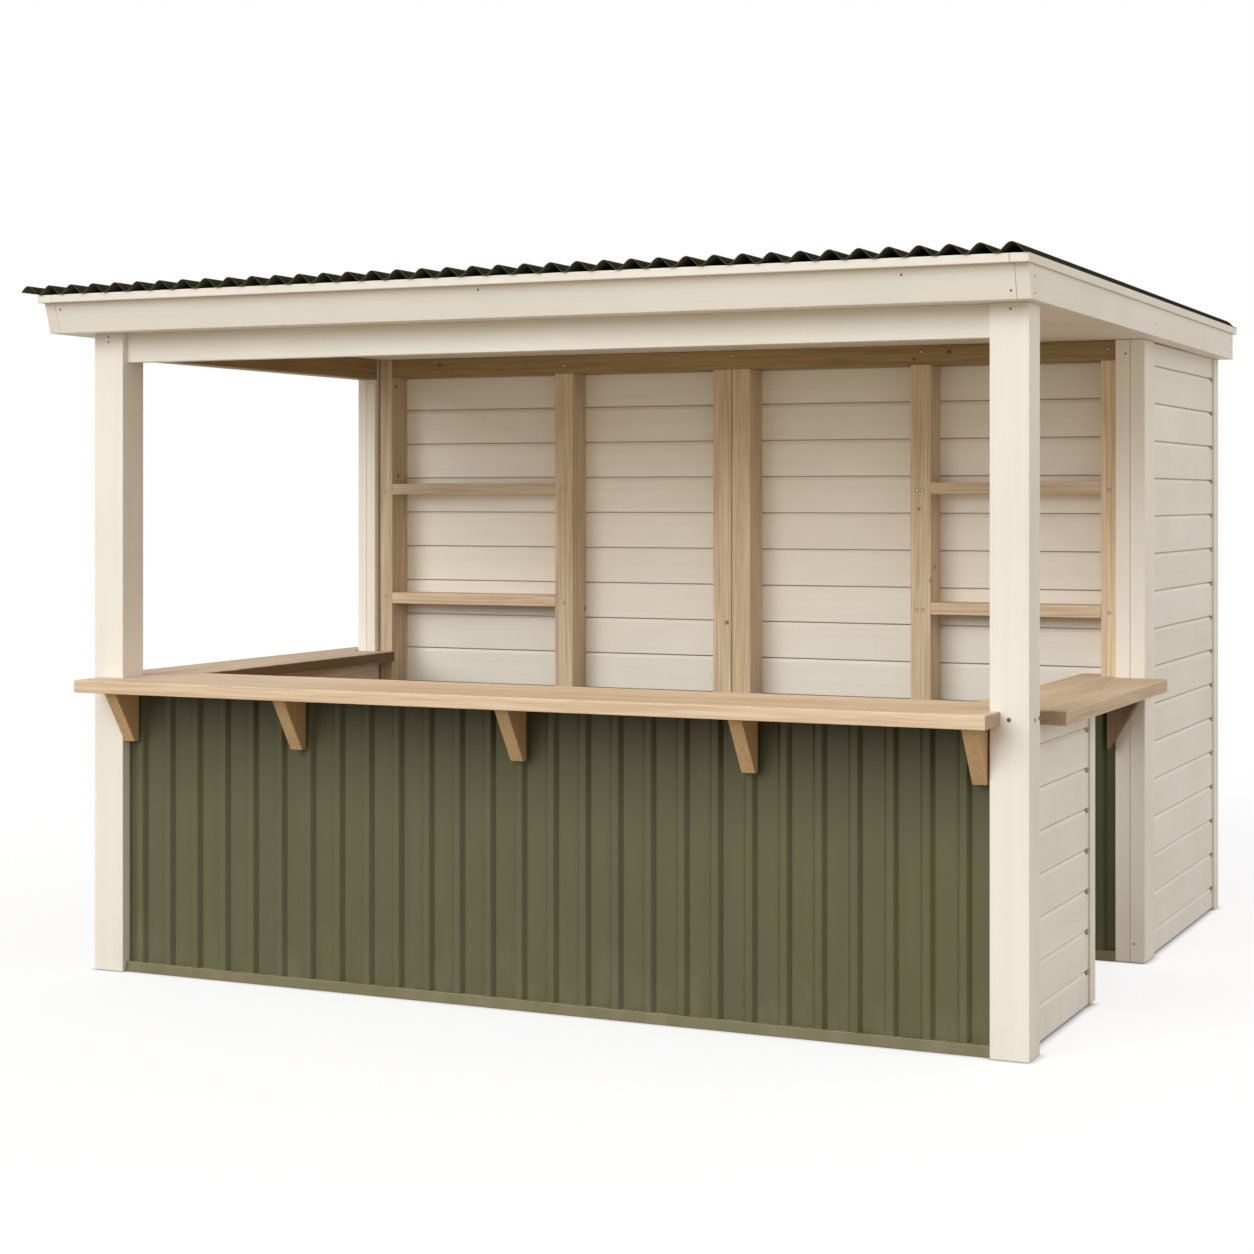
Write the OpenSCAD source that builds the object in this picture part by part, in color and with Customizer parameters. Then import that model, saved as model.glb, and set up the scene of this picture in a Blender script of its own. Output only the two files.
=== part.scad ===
// Garden bar with a serving counter on three sides and a closed room behind it.
// Sizes are taken from the front left corner of the frame: X to the right, Y to the back, Z up.
// The finished part is then shifted so that the middle of its plan lies over the origin.

/* [Plan] */
// Width over the two front posts
frame_w = 3500; // [2800:10:4600]
// Depth of the open bar, from the front posts to the corner posts of the room
bar_depth = 1708; // [1400:1:2400]
// Depth of the closed room behind the bar
room_depth = 1378; // [1000:1:2200]
// How far the left walls stand in from the outer face of the left front post
left_inset = 86; // [60:1:110]
// How far the right walls stand in from the outer face of the right front post
right_inset = 29; // [10:1:60]
// Length of the low wall beside the right front post, doorway jamb included
half_wall_len = 825; // [500:1:950]

/* [Frame] */
// Side of a square front post
post_size = 125; // [110:1:150]
// Height of the ceiling at the front posts
ceiling_z = 2325; // [2150:5:2700]
// How far the roof drops over the depth of the building
roof_fall = 17; // [5:1:60]
// Height of the front beam
beam_h = 106; // [80:1:160]
// Thickness of the front beam
beam_t = 45; // [35:1:60]
// Height of the beam over the left opening
header_h = 95; // [70:1:140]
// Width of one member of the left double corner post
left_corner_w = 41; // [35:1:60]
// Width of one member of the right double corner post
right_corner_w = 55; // [35:1:60]
// Depth of a corner post, front to back
corner_d = 160; // [150:1:200]
// Groove between the two members of a corner post
corner_groove = 2; // [1:0.5:5]

/* [Low walls] */
// Thickness of a wall's lined core
core_t = 70; // [45:1:90]
// Width of the jamb at the doorway, along the wall
jamb_w = 67; // [35:1:80]
// How far jambs and corner trims stand proud of the boards beside them
trim_proud = 8; // [3:1:15]

/* [Weatherboards] */
// Height that one board of the room shows
outer_pitch = 141.8; // [100:0.1:200]
// Height of the lowest joint line of the room's boards
outer_first = 99; // [30:1:130]
// Height that one board of the low walls shows
low_pitch = 137; // [100:1:200]
// Height of the lowest joint line of the low walls' boards
low_first = 127; // [30:1:130]
// Height that one board behind the bar shows
inner_pitch = 146; // [100:1:200]
// Height of the lowest joint line behind the bar
inner_first = 61; // [20:1:95]
// Thickness of a board
board_t = 18; // [14:1:24]
// Depth of the slope at the top of a board
board_step = 6; // [3:1:9]
// Height of the slope at the top of a board
board_slope = 14; // [8:1:18]
// Gap under the outer boards and the jamb
board_lift = 10; // [5:1:30]

/* [Ribbed cladding] */
// Spacing of the ribs
rib_pitch = 119.2; // [90:0.1:160]
// Depth of the cladding, from rib to back
rib_depth = 20; // [8:1:24]
// Width of a rib at its face
rib_face = 22; // [12:1:40]
// Width of a rib's sloping flank
rib_flank = 12; // [3:1:18]
// Thickness of the sheet
sheet_t = 1.5; // [0.8:0.1:3]
// How far the cladding stands back from the front of the posts
clad_recess = 24; // [15:1:40]
// Height of the flashing at the foot of the cladding
flashing_h = 35; // [25:1:60]
// How far the flashing's top ledge stands proud of the ribs
flashing_proud = 3; // [2:1:8]
// How far the flashing's front leans out at its foot
flashing_lean = 5; // [0:1:10]
// Height of the cladding behind the bar
back_clad_h = 935; // [700:5:1000]

/* [Counters] */
// Height of the front and left counter tops
counter_z = 1070; // [900:1:1150]
// Thickness of the front and left counter boards
counter_t = 45; // [30:1:60]
// How far the right counter lies below the others
right_drop = 13; // [0:1:30]
// Thickness of the right counter boards
right_t = 48; // [30:1:60]
// How far the front counter reaches out from the posts
front_out = 161; // [120:1:200]
// How far the front counter reaches in behind the post faces
front_in = 326; // [250:1:400]
// Distance from the frame's left edge to the left end of the front counter
front_left_end = 29; // [0:1:80]
// Distance from the frame's right edge to the right end of the front counter
front_right_end = 92; // [60:1:115]
// How far the left counter reaches out past the left post
left_out = 60; // [30:1:96]
// How far the left counter's outer board runs on beside the corner post
left_run = 220; // [0:5:400]
// Distance of the left counter's inner edge from the frame's left edge
left_in = 252; // [235:1:320]
// How far the right counter reaches out past the right post
right_out = 54; // [30:1:96]
// Distance of the right counter's inner edge from the frame's right edge
right_in = 305; // [270:1:340]
// Where the outer boards of the right counter start behind the post faces
right_start = 245; // [150:1:300]
// Joint between counter boards that are doweled edge to edge
board_gap = 0.8; // [0.3:0.1:0.9]

/* [Brackets] */
// Thickness of a front bracket
bracket_w = 48; // [35:1:60]
// Length of a front bracket under the counter
bracket_top = 145; // [110:1:165]
// Length of a front bracket at its foot
bracket_foot = 25; // [15:1:80]
// Height of a front bracket
bracket_h = 184; // [120:1:260]
// Distance of the end brackets from the posts
bracket_end_gap = 7; // [0:1:40]
// Length of the right bracket under its counter
gusset_top = 138; // [110:1:200]
// Height of the right bracket
gusset_h = 214; // [150:1:280]
// Width of the right bracket at its foot
gusset_foot = 6; // [5:1:40]
// Thickness of the right bracket
gusset_t = 45; // [30:1:60]
// How far the right bracket reaches in past its post
gusset_in = 20; // [0:1:60]

/* [Wall behind the bar] */
// Width of a stud
stud_w = 80; // [60:1:90]
// Width of the studs beside the corner posts
end_stud_w = 60; // [50:1:80]
// Depth of the studs, which is the depth of the shelves
stud_d = 130; // [100:1:140]
// How far the studs stand back from the corner posts
stud_recess = 27; // [20:1:40]
// Gap between the left end stud and its corner post
stud_gap = 9; // [1:1:12]
// Height of the rail over the studs
rail_h = 75; // [60:1:120]
// Height of the upper shelf tops
upper_shelf_z = 1786; // [1600:1:2000]
// Height of the lower shelf tops
lower_shelf_z = 1321; // [1150:1:1500]
// Thickness of a shelf
shelf_t = 46; // [25:1:60]

/* [Roof edge] */
// Height of a fascia board
fascia_h = 107; // [80:1:160]
// Thickness of a fascia board
fascia_t = 45; // [30:1:60]
// How far the foot of the front fascia stands out from the posts
fascia_front = 85; // [60:1:95]
// How far the front fascia leans out at its top
fascia_lean = 33; // [0:1:40]
// How far the left fascia stands out from the left post
fascia_left = 135; // [60:1:160]
// How far the right fascia stands out from the right post
fascia_right = 31; // [10:1:50]
// How far the back fascia stands out from the back wall
fascia_back = 4; // [1:1:60]
// Height of the strip on top of the fascia boards
strip_h = 28; // [18:1:45]
// Width of the strip
strip_w = 60; // [50:1:75]
// How far the strip stands proud at the front
strip_front = 30; // [15:1:35]
// How far the strip stands proud at the sides
strip_side = 8; // [3:1:14]
// How far the strip stands proud at the back
strip_back = 40; // [10:1:45]
// Thickness of the ceiling
ceiling_t = 18; // [12:1:27]

/* [Roof sheet] */
// Spacing of the waves
wave_pitch = 96.5; // [70:0.5:130]
// Height of the waves, crest to trough
wave_h = 32; // [18:1:50]
// Distance from the sheet's left edge to its first crest
wave_first = 29; // [0:1:60]
// Thickness of the roof sheet
roof_t = 2; // [1:0.5:4]
// How far the sheet reaches past the left strip
sheet_left = 65; // [40:1:95]
// How far the sheet stops short of the right strip's edge
sheet_right = 1; // [0:1:30]
// How far the sheet reaches past the front strip
sheet_front = 9; // [0:1:12]
// How far the sheet reaches past the back strip
sheet_back = 20; // [0:1:40]

/* [Hidden] */

// Clearance between neighbouring pieces that share a node or meet along an edge
joint_gap = 0.3;
// Overrun of every cut
cut_over = 5;
// Width of the corner trims on the room's back corners
back_trim_w = 88;
// Points on each wave of the roof sheet
wave_steps = 12;
// Places of the inner front brackets between the posts
bracket_shares = [0.229, 0.497, 0.7545];
// Places of the inner studs' left edges between the outer faces of the end studs
stud_shares = [0.2636, 0.4867, 0.7472];
// Edges between the left counter's boards, from its outer edge to its corner post's inner face
left_board_share = 0.5;
// Edges between the right counter's boards, as shares of its width
right_board_shares = [0.376, 0.677];

cream = [0.90, 0.87, 0.81];
green = [0.39, 0.39, 0.28];
oak = [0.82, 0.71, 0.56];
brown = [0.63, 0.53, 0.41];
dark = [0.22, 0.22, 0.18];

// Plan lines
right_x = frame_w - right_inset;
left_x = left_inset;
right_post_x = frame_w - post_size;
back_y = bar_depth + room_depth;
fall_angle = atan(roof_fall / back_y);
function ceiling_at(y) = ceiling_z - y * tan(fall_angle);

// Lines of the side walls: proud face, board face, board back and core
left_board_x = left_x + trim_proud + board_t;
left_core_x = left_board_x + core_t;
right_board_x = right_x - trim_proud - board_t;
right_core_x = right_board_x - core_t;
back_board_y = back_y - trim_proud - board_t;
back_core_y = back_board_y - core_t;
corner_back_y = bar_depth + corner_d;
half_wall_end = post_size + half_wall_len;

// Lines of the wall behind the bar
inner_left_x = left_x + 2 * left_corner_w + corner_groove;
inner_right_x = right_x - 2 * right_corner_w - corner_groove;
stud_y = bar_depth + stud_recess;
stud_back_y = stud_y + stud_d;
wall_top = ceiling_at(stud_back_y + board_t);
rail_z = wall_top - rail_h;
stud_left_x = inner_left_x + stud_gap;
stud_right_x = inner_right_x - joint_gap;
stud_span = stud_right_x - stud_left_x;
stud_x = [
  stud_left_x,
  stud_left_x + stud_shares[0] * stud_span,
  stud_left_x + stud_shares[1] * stud_span,
  stud_left_x + stud_shares[1] * stud_span + stud_w + joint_gap,
  stud_left_x + stud_shares[2] * stud_span,
  stud_right_x - end_stud_w
];
stud_widths = [end_stud_w, stud_w, stud_w, stud_w, stud_w, end_stud_w];

// Lines of the cladding and counters
clad_back_y = clad_recess + rib_depth;
counter_under = counter_z - counter_t;
right_top = counter_z - right_drop;
right_under = right_top - right_t;
front_joint = front_in / 2;
right_counter_x = frame_w - right_in;
right_counter_w = right_in + right_out;
right_joint_x = [for (s = right_board_shares) right_counter_x + s * right_counter_w];

// Lines of the roof edge, in the roof's own tilted frame with its ceiling at zero
roof_left_x = -fascia_left;
roof_right_x = frame_w + fascia_right;
roof_back_y = back_y + fascia_back;
strip_left_x = roof_left_x - strip_side;
strip_right_x = roof_right_x + strip_side;
strip_front_y = -fascia_front - fascia_lean - strip_front;
strip_back_y = roof_back_y + strip_back;
roof_z = fascia_h + strip_h;
sheet_x0 = strip_left_x - sheet_left;
sheet_x1 = strip_right_x - sheet_right;
sheet_y0 = strip_front_y - sheet_front;
sheet_y1 = strip_back_y + sheet_back;

// Middle of the plan
mid_x = (sheet_x0 + frame_w + right_out) / 2;
plan_back = sheet_y1 * cos(fall_angle) + (roof_z + wave_h + roof_t) * sin(fall_angle);
mid_y = (plan_back - front_out) / 2;

// Shifts a piece from the frame's corner to the middle of the plan
module placed() {
  translate([-mid_x, -mid_y, 0]) children();
}

// Box between two opposite corners
module block(low, high) {
  translate(low) cube(high - low);
}

// Tilted frame of the roof
module on_roof() {
  translate([0, 0, ceiling_z]) rotate([-fall_angle, 0, 0]) children();
}

// Extrudes a profile drawn in Y and Z along X
module along_x(x0, x1) {
  translate([x0, 0, 0]) rotate([90, 0, 90]) linear_extrude(height = x1 - x0) children();
}

// Extrudes a profile drawn in X and Z along Y
module along_y(y0, y1) {
  translate([0, y1, 0]) rotate([90, 0, 0]) linear_extrude(height = y1 - y0) children();
}

// Lapped boards seen end on: back at zero, flat faces, each board's top sloping in under the next one's edge
function board_lines(z0, z1, first, pitch) =
  [for (k = [0 : floor((z1 - first) / pitch)]) first + k * pitch];

module board_profile(z0, z1, first, pitch) {
  lines = [for (z = board_lines(z0, z1, first, pitch)) if (z - board_slope > z0 && z < z1) z];
  tip = board_t - board_step;
  polygon(concat(
    [[0, z0], [board_t, z0]],
    [for (z = lines) each [[board_t, z - board_slope], [tip, z], [board_t, z]]],
    [[board_t, z1], [0, z1]]
  ));
}

// Ribbed sheet seen end on: pans at the back, ribs to the front, laid from its left end
function rib_edge(x0, count) = concat(
  [[x0, 0]],
  [for (k = [0 : count - 1]) let (c = x0 + (k + 1 / 2) * rib_pitch) each [
    [c - rib_face / 2 - rib_flank, 0],
    [c - rib_face / 2, rib_depth - sheet_t],
    [c + rib_face / 2, rib_depth - sheet_t],
    [c + rib_face / 2 + rib_flank, 0]
  ]]
);

module rib_profile(x0, x1) {
  edge = concat(rib_edge(x0, floor((x1 - x0) / rib_pitch)), [[x1, 0]]);
  back = [for (i = [len(edge) - 1 : -1 : 0]) edge[i]];
  polygon(concat([for (p = edge) [p[0], -p[1] - sheet_t]], [for (p = back) [p[0], -p[1]]]));
}

module ribbed(x0, x1, y, z0, z1) {
  translate([0, y, z0]) linear_extrude(height = z1 - z0) rib_profile(x0, x1);
}

// Foot flashing seen end on: a ledge under the cladding over a front that leans out
module flashing_profile(y1) {
  ledge = y1 - rib_depth - flashing_proud;
  polygon([[ledge - flashing_lean, 0], [y1, 0], [y1, flashing_h], [ledge, flashing_h]]);
}

module front_left_post() {
  color(cream) placed() block([0, 0, 0], [post_size, post_size, ceiling_at(post_size)]);
}

module front_right_post() {
  color(cream) placed() block([right_post_x, 0, 0], [frame_w, post_size, ceiling_at(post_size)]);
}

module front_beam() {
  beam_back = clad_recess + beam_t;
  color(cream) placed() block(
    [post_size, clad_recess, ceiling_z - beam_h],
    [right_post_x, beam_back, ceiling_at(beam_back)]
  );
}

module left_header() {
  color(brown) placed() block(
    [left_board_x, post_size, ceiling_z - header_h],
    [left_core_x, bar_depth, ceiling_at(bar_depth)]
  );
}

module left_header_cover() {
  color(cream) placed() block(
    [left_x + trim_proud, post_size, ceiling_z - header_h],
    [left_board_x, bar_depth, ceiling_at(bar_depth)]
  );
}

module front_wall() {
  color(brown) placed() block(
    [post_size, clad_back_y, 0], [right_post_x, clad_back_y + core_t, counter_under]
  );
}

module front_cladding() {
  color(green) placed() ribbed(post_size, right_post_x, clad_back_y, flashing_h, counter_under);
}

module front_flashing() {
  color(green) placed() along_x(post_size, right_post_x)
    flashing_profile(clad_back_y);
}

module front_counter() {
  color(oak) placed() {
    block(
      [front_left_end, -front_out, counter_under], [frame_w - front_right_end, -joint_gap, counter_z]
    );
    block(
      [post_size + joint_gap, board_gap - joint_gap, counter_under],
      [right_post_x - joint_gap, front_joint, counter_z]
    );
    block(
      [left_in + board_gap, front_joint + board_gap, counter_under],
      [right_joint_x[1] - board_gap, front_in, counter_z]
    );
  }
}

module left_counter() {
  split = left_board_share * (inner_left_x + left_out) - left_out;
  start = post_size + joint_gap;
  stop = bar_depth - joint_gap;
  color(oak) placed() {
    block([-left_out, start, counter_under], [split, stop + left_run, counter_z]);
    difference() {
      block([split + board_gap, start, counter_under], [inner_left_x, stop, counter_z]);
      block(
        [post_size, 0, counter_under - cut_over],
        [left_in, front_joint + board_gap, counter_z + cut_over]
      );
    }
    block(
      [inner_left_x + board_gap, front_joint + board_gap, counter_under],
      [left_in, stud_y - joint_gap, counter_z]
    );
  }
}

module right_counter() {
  start = front_in + board_gap;
  stop = bar_depth - joint_gap;
  color(oak) placed() {
    difference() {
      block(
        [right_counter_x, start, right_under],
        [right_joint_x[0] - board_gap, stud_back_y - joint_gap, right_top]
      );
      block(
        [stud_x[5] - joint_gap, stud_y - joint_gap, right_under - cut_over],
        [frame_w, stud_back_y + cut_over, right_top + cut_over]
      );
    }
    block([right_joint_x[0], start, right_under], [right_joint_x[1] - board_gap, stop, right_top]);
    block([right_joint_x[1], right_start, right_under], [frame_w + right_out, stop, right_top]);
  }
}

module front_bracket(x) {
  face = clad_recess;
  along_x(x, x + bracket_w) polygon([
    [face, counter_under], [face, counter_under - bracket_h],
    [face - bracket_foot, counter_under - bracket_h], [face - bracket_top, counter_under]
  ]);
}

module front_brackets() {
  clear_w = right_post_x - post_size;
  places = concat(
    [post_size + bracket_end_gap],
    [for (s = bracket_shares) post_size + s * clear_w - bracket_w / 2],
    [right_post_x - bracket_end_gap - bracket_w]
  );
  color(oak) placed() for (x = places) front_bracket(x);
}

module right_bracket() {
  x0 = inner_right_x - gusset_in;
  color(oak) placed() along_y(bar_depth - gusset_t, bar_depth) polygon([
    [x0, right_under], [x0 + gusset_top, right_under],
    [x0 + gusset_foot, right_under - gusset_h], [x0, right_under - gusset_h]
  ]);
}

module left_low_wall() {
  color(brown) placed() block(
    [left_board_x, post_size, 0], [left_core_x, bar_depth, counter_under]
  );
}

module left_low_boards() {
  color(cream) placed() translate([left_board_x, 0, 0]) mirror([1, 0, 0])
    along_y(post_size, bar_depth) board_profile(board_lift, counter_under, low_first, low_pitch);
}

module right_low_wall() {
  color(brown) placed() block(
    [right_core_x, post_size, 0], [right_board_x, half_wall_end - jamb_w, right_under]
  );
}

module right_low_boards() {
  color(cream) placed() translate([right_board_x, 0, 0])
    along_y(post_size, half_wall_end - jamb_w)
    board_profile(board_lift, right_under, low_first, low_pitch);
}

module doorway_jamb() {
  color(cream) placed() block(
    [right_core_x, half_wall_end - jamb_w, board_lift], [right_x, half_wall_end, right_under]
  );
}

module corner_post(x0, w) {
  top = ceiling_at(corner_back_y);
  for (x = [x0, x0 + w + corner_groove])
    block([x, bar_depth, 0], [x + w, corner_back_y, top]);
}

module left_corner_post() {
  color(cream) placed() corner_post(left_x, left_corner_w);
}

module right_corner_post() {
  color(cream) placed() corner_post(inner_right_x, right_corner_w);
}

module back_studs() {
  color(brown) placed() for (i = [0 : len(stud_x) - 1])
    block([stud_x[i], stud_y, 0], [stud_x[i] + stud_widths[i], stud_back_y, i == 0 ? wall_top : rail_z]);
}

module back_rail() {
  color(brown) placed() block(
    [stud_x[0] + end_stud_w, stud_y, rail_z], [inner_right_x, stud_back_y, wall_top]
  );
}

module back_boards() {
  x0 = max(inner_left_x, left_core_x);
  x1 = min(inner_right_x, right_core_x);
  color(cream) placed() translate([0, stud_back_y + board_t, 0]) mirror([0, 1, 0])
    along_x(x0, x1) board_profile(0, wall_top, inner_first, inner_pitch);
}

module back_cladding() {
  color(green) placed() translate([inner_left_x + inner_right_x, 0, 0]) mirror([1, 0, 0])
    ribbed(inner_left_x, inner_right_x, stud_y, flashing_h, back_clad_h);
}

module back_flashing() {
  color(green) placed() along_x(inner_left_x, inner_right_x)
    flashing_profile(stud_y);
}

module shelf(bay, top) {
  color(brown) placed() block(
    [stud_x[bay] + stud_widths[bay], stud_y, top - shelf_t], [stud_x[bay + 1], stud_back_y, top]
  );
}

module upper_left_shelf() {
  shelf(0, upper_shelf_z);
}

module lower_left_shelf() {
  shelf(0, lower_shelf_z);
}

module upper_right_shelf() {
  shelf(4, upper_shelf_z);
}

module lower_right_shelf() {
  shelf(4, lower_shelf_z);
}

module room_left_wall() {
  color(brown) placed() block(
    [left_board_x, corner_back_y, 0], [left_core_x, back_board_y, ceiling_at(back_y)]
  );
}

module room_left_boards() {
  color(cream) placed() translate([left_board_x, 0, 0]) mirror([1, 0, 0])
    along_y(corner_back_y, back_y - back_trim_w)
    board_profile(board_lift, ceiling_at(back_y), outer_first, outer_pitch);
}

module room_right_wall() {
  color(brown) placed() block(
    [right_core_x, corner_back_y, 0], [right_board_x, back_board_y, ceiling_at(back_y)]
  );
}

module room_right_boards() {
  color(cream) placed() translate([right_board_x, 0, 0])
    along_y(corner_back_y, back_y - back_trim_w)
    board_profile(board_lift, ceiling_at(back_y), outer_first, outer_pitch);
}

module room_back_wall() {
  color(brown) placed() block(
    [left_core_x, back_core_y, 0], [right_core_x, back_board_y, ceiling_at(back_y)]
  );
}

module room_back_boards() {
  color(cream) placed() translate([0, back_board_y, 0])
    along_x(left_x + back_trim_w, right_x - back_trim_w)
    board_profile(board_lift, ceiling_at(back_y), outer_first, outer_pitch);
}

// Corner trim seen from above, folded round a back corner of the room
module back_trim_profile(outer, inner, reach) {
  polygon([
    [inner, back_y - back_trim_w], [outer, back_y - back_trim_w], [outer, back_y],
    [reach, back_y], [reach, back_board_y], [inner, back_board_y]
  ]);
}

module left_back_trim() {
  color(cream) placed() linear_extrude(height = ceiling_at(back_y))
    back_trim_profile(left_x, left_board_x, left_x + back_trim_w);
}

module right_back_trim() {
  color(cream) placed() linear_extrude(height = ceiling_at(back_y))
    back_trim_profile(right_x, right_board_x, right_x - back_trim_w);
}

module ceiling() {
  foot = fascia_t - fascia_front;
  rake = fascia_lean / fascia_h;
  color(cream) placed() on_roof() along_x(roof_left_x + fascia_t, roof_right_x - fascia_t) polygon([
    [foot, 0], [roof_back_y - fascia_t, 0],
    [roof_back_y - fascia_t, ceiling_t], [foot - rake * ceiling_t, ceiling_t]
  ]);
}

module front_fascia() {
  color(cream) placed() on_roof() along_x(roof_left_x + fascia_t, roof_right_x - fascia_t) polygon([
    [-fascia_front, 0], [fascia_t - fascia_front, 0],
    [fascia_t - fascia_front - fascia_lean, fascia_h], [-fascia_front - fascia_lean, fascia_h]
  ]);
}

// Side fascia with its front end cut to the lean of the front fascia
module side_fascia(x0) {
  on_roof() along_x(x0, x0 + fascia_t) polygon([
    [-fascia_front, 0], [roof_back_y, 0],
    [roof_back_y, fascia_h], [-fascia_front - fascia_lean, fascia_h]
  ]);
}

module left_fascia() {
  color(cream) placed() side_fascia(roof_left_x);
}

module right_fascia() {
  color(cream) placed() side_fascia(roof_right_x - fascia_t);
}

module back_fascia() {
  color(cream) placed() on_roof() block(
    [roof_left_x + fascia_t, roof_back_y - fascia_t, 0],
    [roof_right_x - fascia_t, roof_back_y, fascia_h]
  );
}

module roof_strips() {
  inner_left = strip_left_x + strip_w;
  inner_right = strip_right_x - strip_w;
  color(cream) placed() on_roof() {
    block([strip_left_x, strip_front_y, fascia_h], [inner_left, strip_back_y, roof_z]);
    block([inner_right, strip_front_y, fascia_h], [strip_right_x, strip_back_y, roof_z]);
    block(
      [inner_left + joint_gap, strip_front_y, fascia_h],
      [inner_right - joint_gap, strip_front_y + strip_w, roof_z]
    );
    block(
      [inner_left + joint_gap, strip_back_y - strip_w, fascia_h],
      [inner_right - joint_gap, strip_back_y, roof_z]
    );
  }
}

// Waved sheet seen end on, starting and resting in its troughs
function wave_z(x) = wave_h * (1 + cos(360 * (x - sheet_x0 - wave_first) / wave_pitch)) / 2;

module roof_sheet() {
  steps = floor((sheet_x1 - sheet_x0) / wave_pitch * wave_steps);
  places = concat([for (i = [0 : steps]) sheet_x0 + i * wave_pitch / wave_steps], [sheet_x1]);
  under = [for (x = places) [x, wave_z(x)]];
  over = [for (i = [len(under) - 1 : -1 : 0]) [under[i][0], under[i][1] + roof_t]];
  color(dark) placed() on_roof() translate([0, 0, roof_z]) along_y(sheet_y0, sheet_y1)
    polygon(concat(under, over));
}

front_left_post();
front_right_post();
front_beam();
left_header();
left_header_cover();
front_wall();
front_cladding();
front_flashing();
front_counter();
left_counter();
right_counter();
front_brackets();
right_bracket();
left_low_wall();
left_low_boards();
right_low_wall();
right_low_boards();
doorway_jamb();
left_corner_post();
right_corner_post();
back_studs();
back_rail();
back_boards();
back_cladding();
back_flashing();
upper_left_shelf();
lower_left_shelf();
upper_right_shelf();
lower_right_shelf();
room_left_wall();
room_left_boards();
room_right_wall();
room_right_boards();
room_back_wall();
room_back_boards();
left_back_trim();
right_back_trim();
ceiling();
front_fascia();
left_fascia();
right_fascia();
back_fascia();
roof_strips();
roof_sheet();
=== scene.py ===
"""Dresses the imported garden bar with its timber, paint, ribbed steel and fixings.

Laid out as a Blender add-on and run as a script. Sizes are in metres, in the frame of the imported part.
"""
import functools
import math
import random

import bmesh
import bpy
from bpy.props import FloatProperty, FloatVectorProperty, IntProperty, PointerProperty
from bpy.types import Operator, Panel, PropertyGroup
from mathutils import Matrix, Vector


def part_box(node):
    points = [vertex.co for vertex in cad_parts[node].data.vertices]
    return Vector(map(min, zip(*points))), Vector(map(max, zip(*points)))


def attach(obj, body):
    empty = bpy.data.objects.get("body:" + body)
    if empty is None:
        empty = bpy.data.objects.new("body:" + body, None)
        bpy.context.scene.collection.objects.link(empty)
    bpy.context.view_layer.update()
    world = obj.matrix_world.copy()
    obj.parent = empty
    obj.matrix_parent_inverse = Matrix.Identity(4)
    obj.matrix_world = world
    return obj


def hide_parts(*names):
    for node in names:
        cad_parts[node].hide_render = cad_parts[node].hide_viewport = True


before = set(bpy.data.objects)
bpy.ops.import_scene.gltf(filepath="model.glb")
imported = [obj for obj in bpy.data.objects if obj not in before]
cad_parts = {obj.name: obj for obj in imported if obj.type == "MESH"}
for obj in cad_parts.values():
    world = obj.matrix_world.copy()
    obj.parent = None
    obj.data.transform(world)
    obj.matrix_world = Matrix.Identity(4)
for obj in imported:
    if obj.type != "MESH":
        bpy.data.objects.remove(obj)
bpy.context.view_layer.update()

bl_info = {
    "name": "Garden bar dressing",
    "version": (1, 0, 0),
    "blender": (4, 5, 0),
    "location": "3D View > Sidebar > Garden bar",
    "description": "Timber, paint, ribbed steel and fixings of a garden bar",
    "category": "Object",
}


# Settings that a user would change

def linear(red, green, blue):
    """Linear colour of an 8 bit screen colour."""
    return tuple((c / 255) ** 2.2 for c in (red, green, blue))


def colour_setting(name, description, *screen):
    """Setting for a colour, whose default is an 8 bit screen colour."""
    return FloatVectorProperty(
        name=name, description=description, subtype="COLOR", min=0, max=1, default=linear(*screen))


def length_setting(name, description, default, low, high):
    """Setting for a length and its limits."""
    return FloatProperty(
        name=name, description=description, unit="LENGTH", min=low, max=high, default=default)


def light_setting(name, description, default, high):
    """Setting for the strength of a light."""
    return FloatProperty(name=name, description=description, min=0, max=high, default=default)


class GardenBarFinishes(PropertyGroup):
    """Colours of the bar's finishes"""
    cream: colour_setting("Cream paint", "Paint of the posts, boards and fascia", 241, 235, 225)
    joint: colour_setting("Open joint", "Bare wood and shade in open joints and notches", 88, 52, 22)
    olive: colour_setting("Olive steel", "Coating of the ribbed cladding", 95, 93, 67)
    flashing: colour_setting("Flashing", "Coating of the flashing under the cladding", 114, 108, 79)
    oak_light: colour_setting("Oak, light", "Early wood of the counters", 229, 203, 173)
    oak_dark: colour_setting("Oak, dark", "Late wood of the counters", 197, 166, 132)
    timber_light: colour_setting("Timber, light", "Early wood of the studs and shelves", 213, 192, 165)
    timber_dark: colour_setting("Timber, dark", "Late wood of the studs and shelves", 166, 139, 106)
    roof: colour_setting("Roof steel", "Coating on top of the corrugated roof sheet", 50, 48, 38)
    # The underside coat is paler than the top, to paint light onto the shaded underside
    roof_under_painted_light: colour_setting("Roof underside", "Coating under the corrugated roof sheet", 96, 93, 74)
    # The rims round screw heads are a dull disc of painted shade
    zinc_dull_and_rim_shade: colour_setting("Zinc, dull", "Nail heads and the rims of screw heads", 88, 74, 58)
    zinc_bright: colour_setting("Zinc, bright", "Bright screw heads", 214, 210, 202)
    soil: colour_setting("Dust", "Dust that settles near the ground", 150, 136, 112)


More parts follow.
